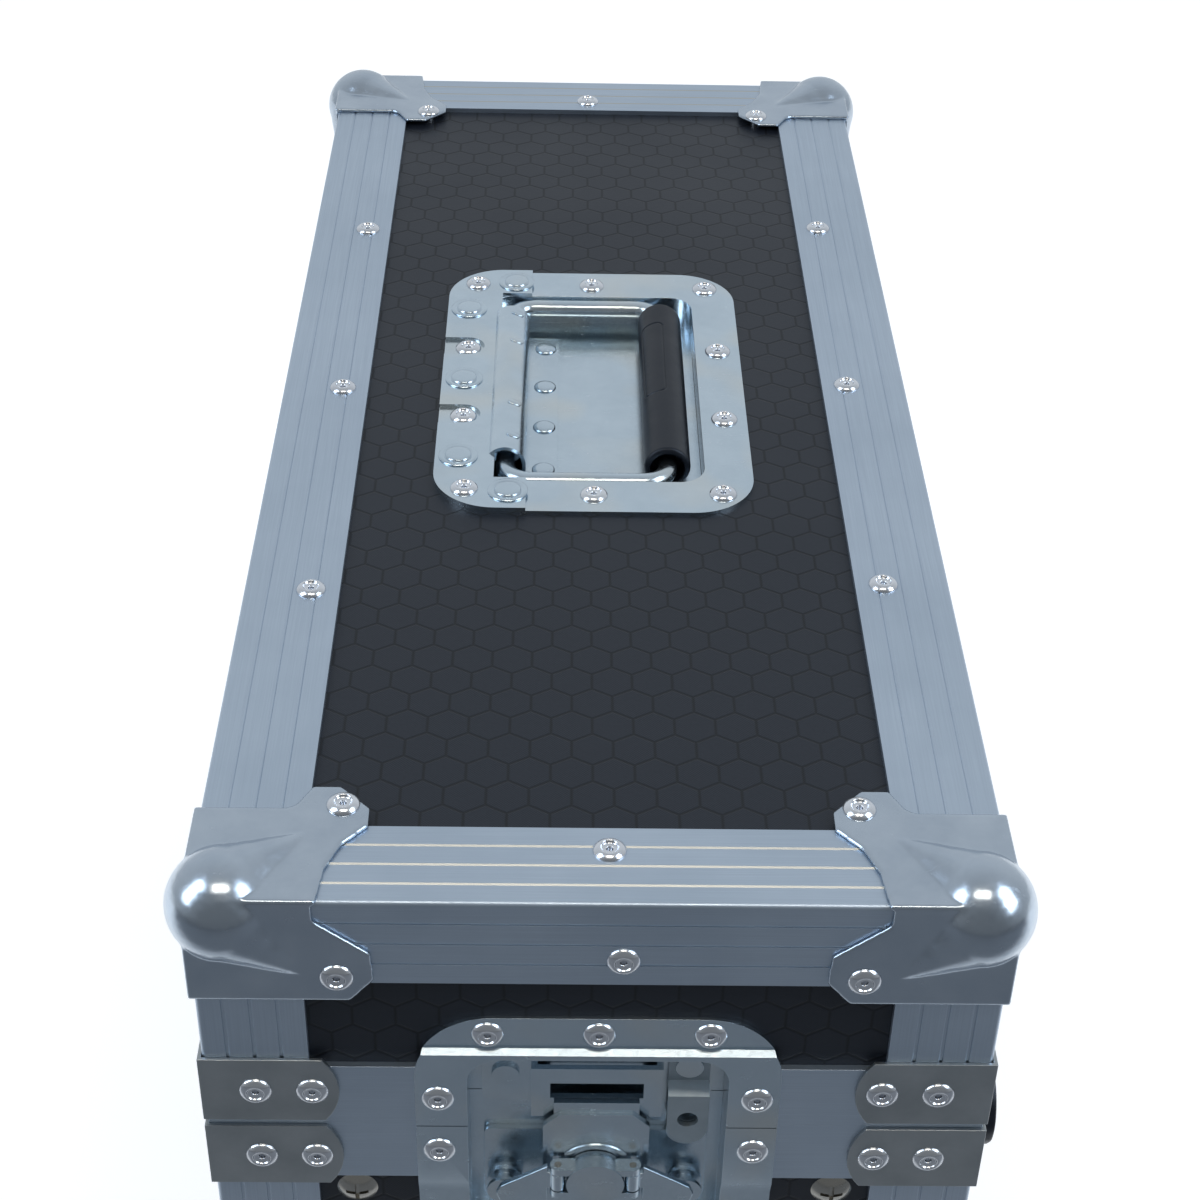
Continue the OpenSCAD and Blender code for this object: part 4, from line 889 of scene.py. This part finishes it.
def floor_material():
    """Pale, with painted shade in front, where the case's front looks at it: a dark stand-in for the case's
    shadow there.
    """
    t = Tree("floor_painted_shade")
    # The mask of the painted shade: the floor darkens towards the front, and the glow keeps out of it
    unshaded = t.spread(t.axes()[1], FLOOR_SHADE_Y, FLOOR_PALE_Y)
    material = t.finish(t.blend(unshaded, FLOOR_PAINTED_SHADE, FLOOR_PALE), 0.8, specular=0.2)
    nodes, links = t.tree.nodes, t.tree.links
    path = nodes.new("ShaderNodeLightPath").outputs
    mirrored = t.math("MAXIMUM", path["Is Glossy Ray"], path["Is Transmission Ray"])
    shown = t.math("MAXIMUM", path["Is Camera Ray"], mirrored)
    glow = nodes.new("ShaderNodeEmission")
    glow.inputs["Color"].default_value = GLOW_COLOR
    t.put(glow.inputs["Strength"], t.math("MULTIPLY", t.math("MULTIPLY", shown, unshaded), FLOOR_GLOW))
    both = nodes.new("ShaderNodeAddShader")
    links.new(t.shader.outputs[0], both.inputs[0])
    links.new(glow.outputs[0], both.inputs[1])
    links.new(both.outputs[0], nodes["Material Output"].inputs["Surface"])
    return material


def add_floor():
    bpy.ops.mesh.primitive_plane_add(size=FLOOR_SIZE, location=(0.0, 0.0, 0.0))
    floor = bpy.context.object
    floor.name = "floor"
    paint(floor, floor_material())


def add_world():
    """Plain surroundings, stronger behind the case than in front of it."""
    world = bpy.data.worlds.new("studio")
    bpy.context.scene.world = world
    world.use_nodes = True
    tree = world.node_tree
    back = tree.nodes["Background"]
    way = tree.nodes.new("ShaderNodeSeparateXYZ")
    tree.links.new(tree.nodes.new("ShaderNodeTexCoord").outputs["Generated"], way.inputs[0])
    ramp = tree.nodes.new("ShaderNodeMapRange")
    ramp.inputs["From Min"].default_value = -WORLD_REACH
    ramp.inputs["From Max"].default_value = WORLD_REACH
    ramp.inputs["To Min"].default_value = WORLD_FRONT
    ramp.inputs["To Max"].default_value = WORLD_BACK
    tree.links.new(way.outputs["Y"], ramp.inputs["Value"])
    tree.links.new(ramp.outputs["Result"], back.inputs["Strength"])
    back.inputs["Color"].default_value = WORLD_COLOR


def add_lights():
    for name, (at, aim, size, power, color) in LIGHTS.items():
        data = bpy.data.lights.new(name, "AREA")
        data.shape = "RECTANGLE"
        data.size, data.size_y = size
        data.energy = power
        data.color = color
        light = add_object(name, data)
        light.location = at
        light.rotation_euler = (Vector(aim) - Vector(at)).to_track_quat("-Z", "Y").to_euler()


add_camera()
add_floor()
add_world()
add_lights()
bpy.context.scene.view_settings.view_transform = "Standard"

materials = make_materials()
for node, obj in NODES.items():
    paint(obj, materials[finish_for(node)])

add_rivets("lid_rivets", "lid")
add_rivets("body_rivets", "case")
add_handle_rivets()
dress_dishes()
add_grooves()
add_grip()
add_dents()
smooth_corners("lid_ball_corners", "lid")
smooth_corners("body_ball_corners", "case")
soften_nodes()
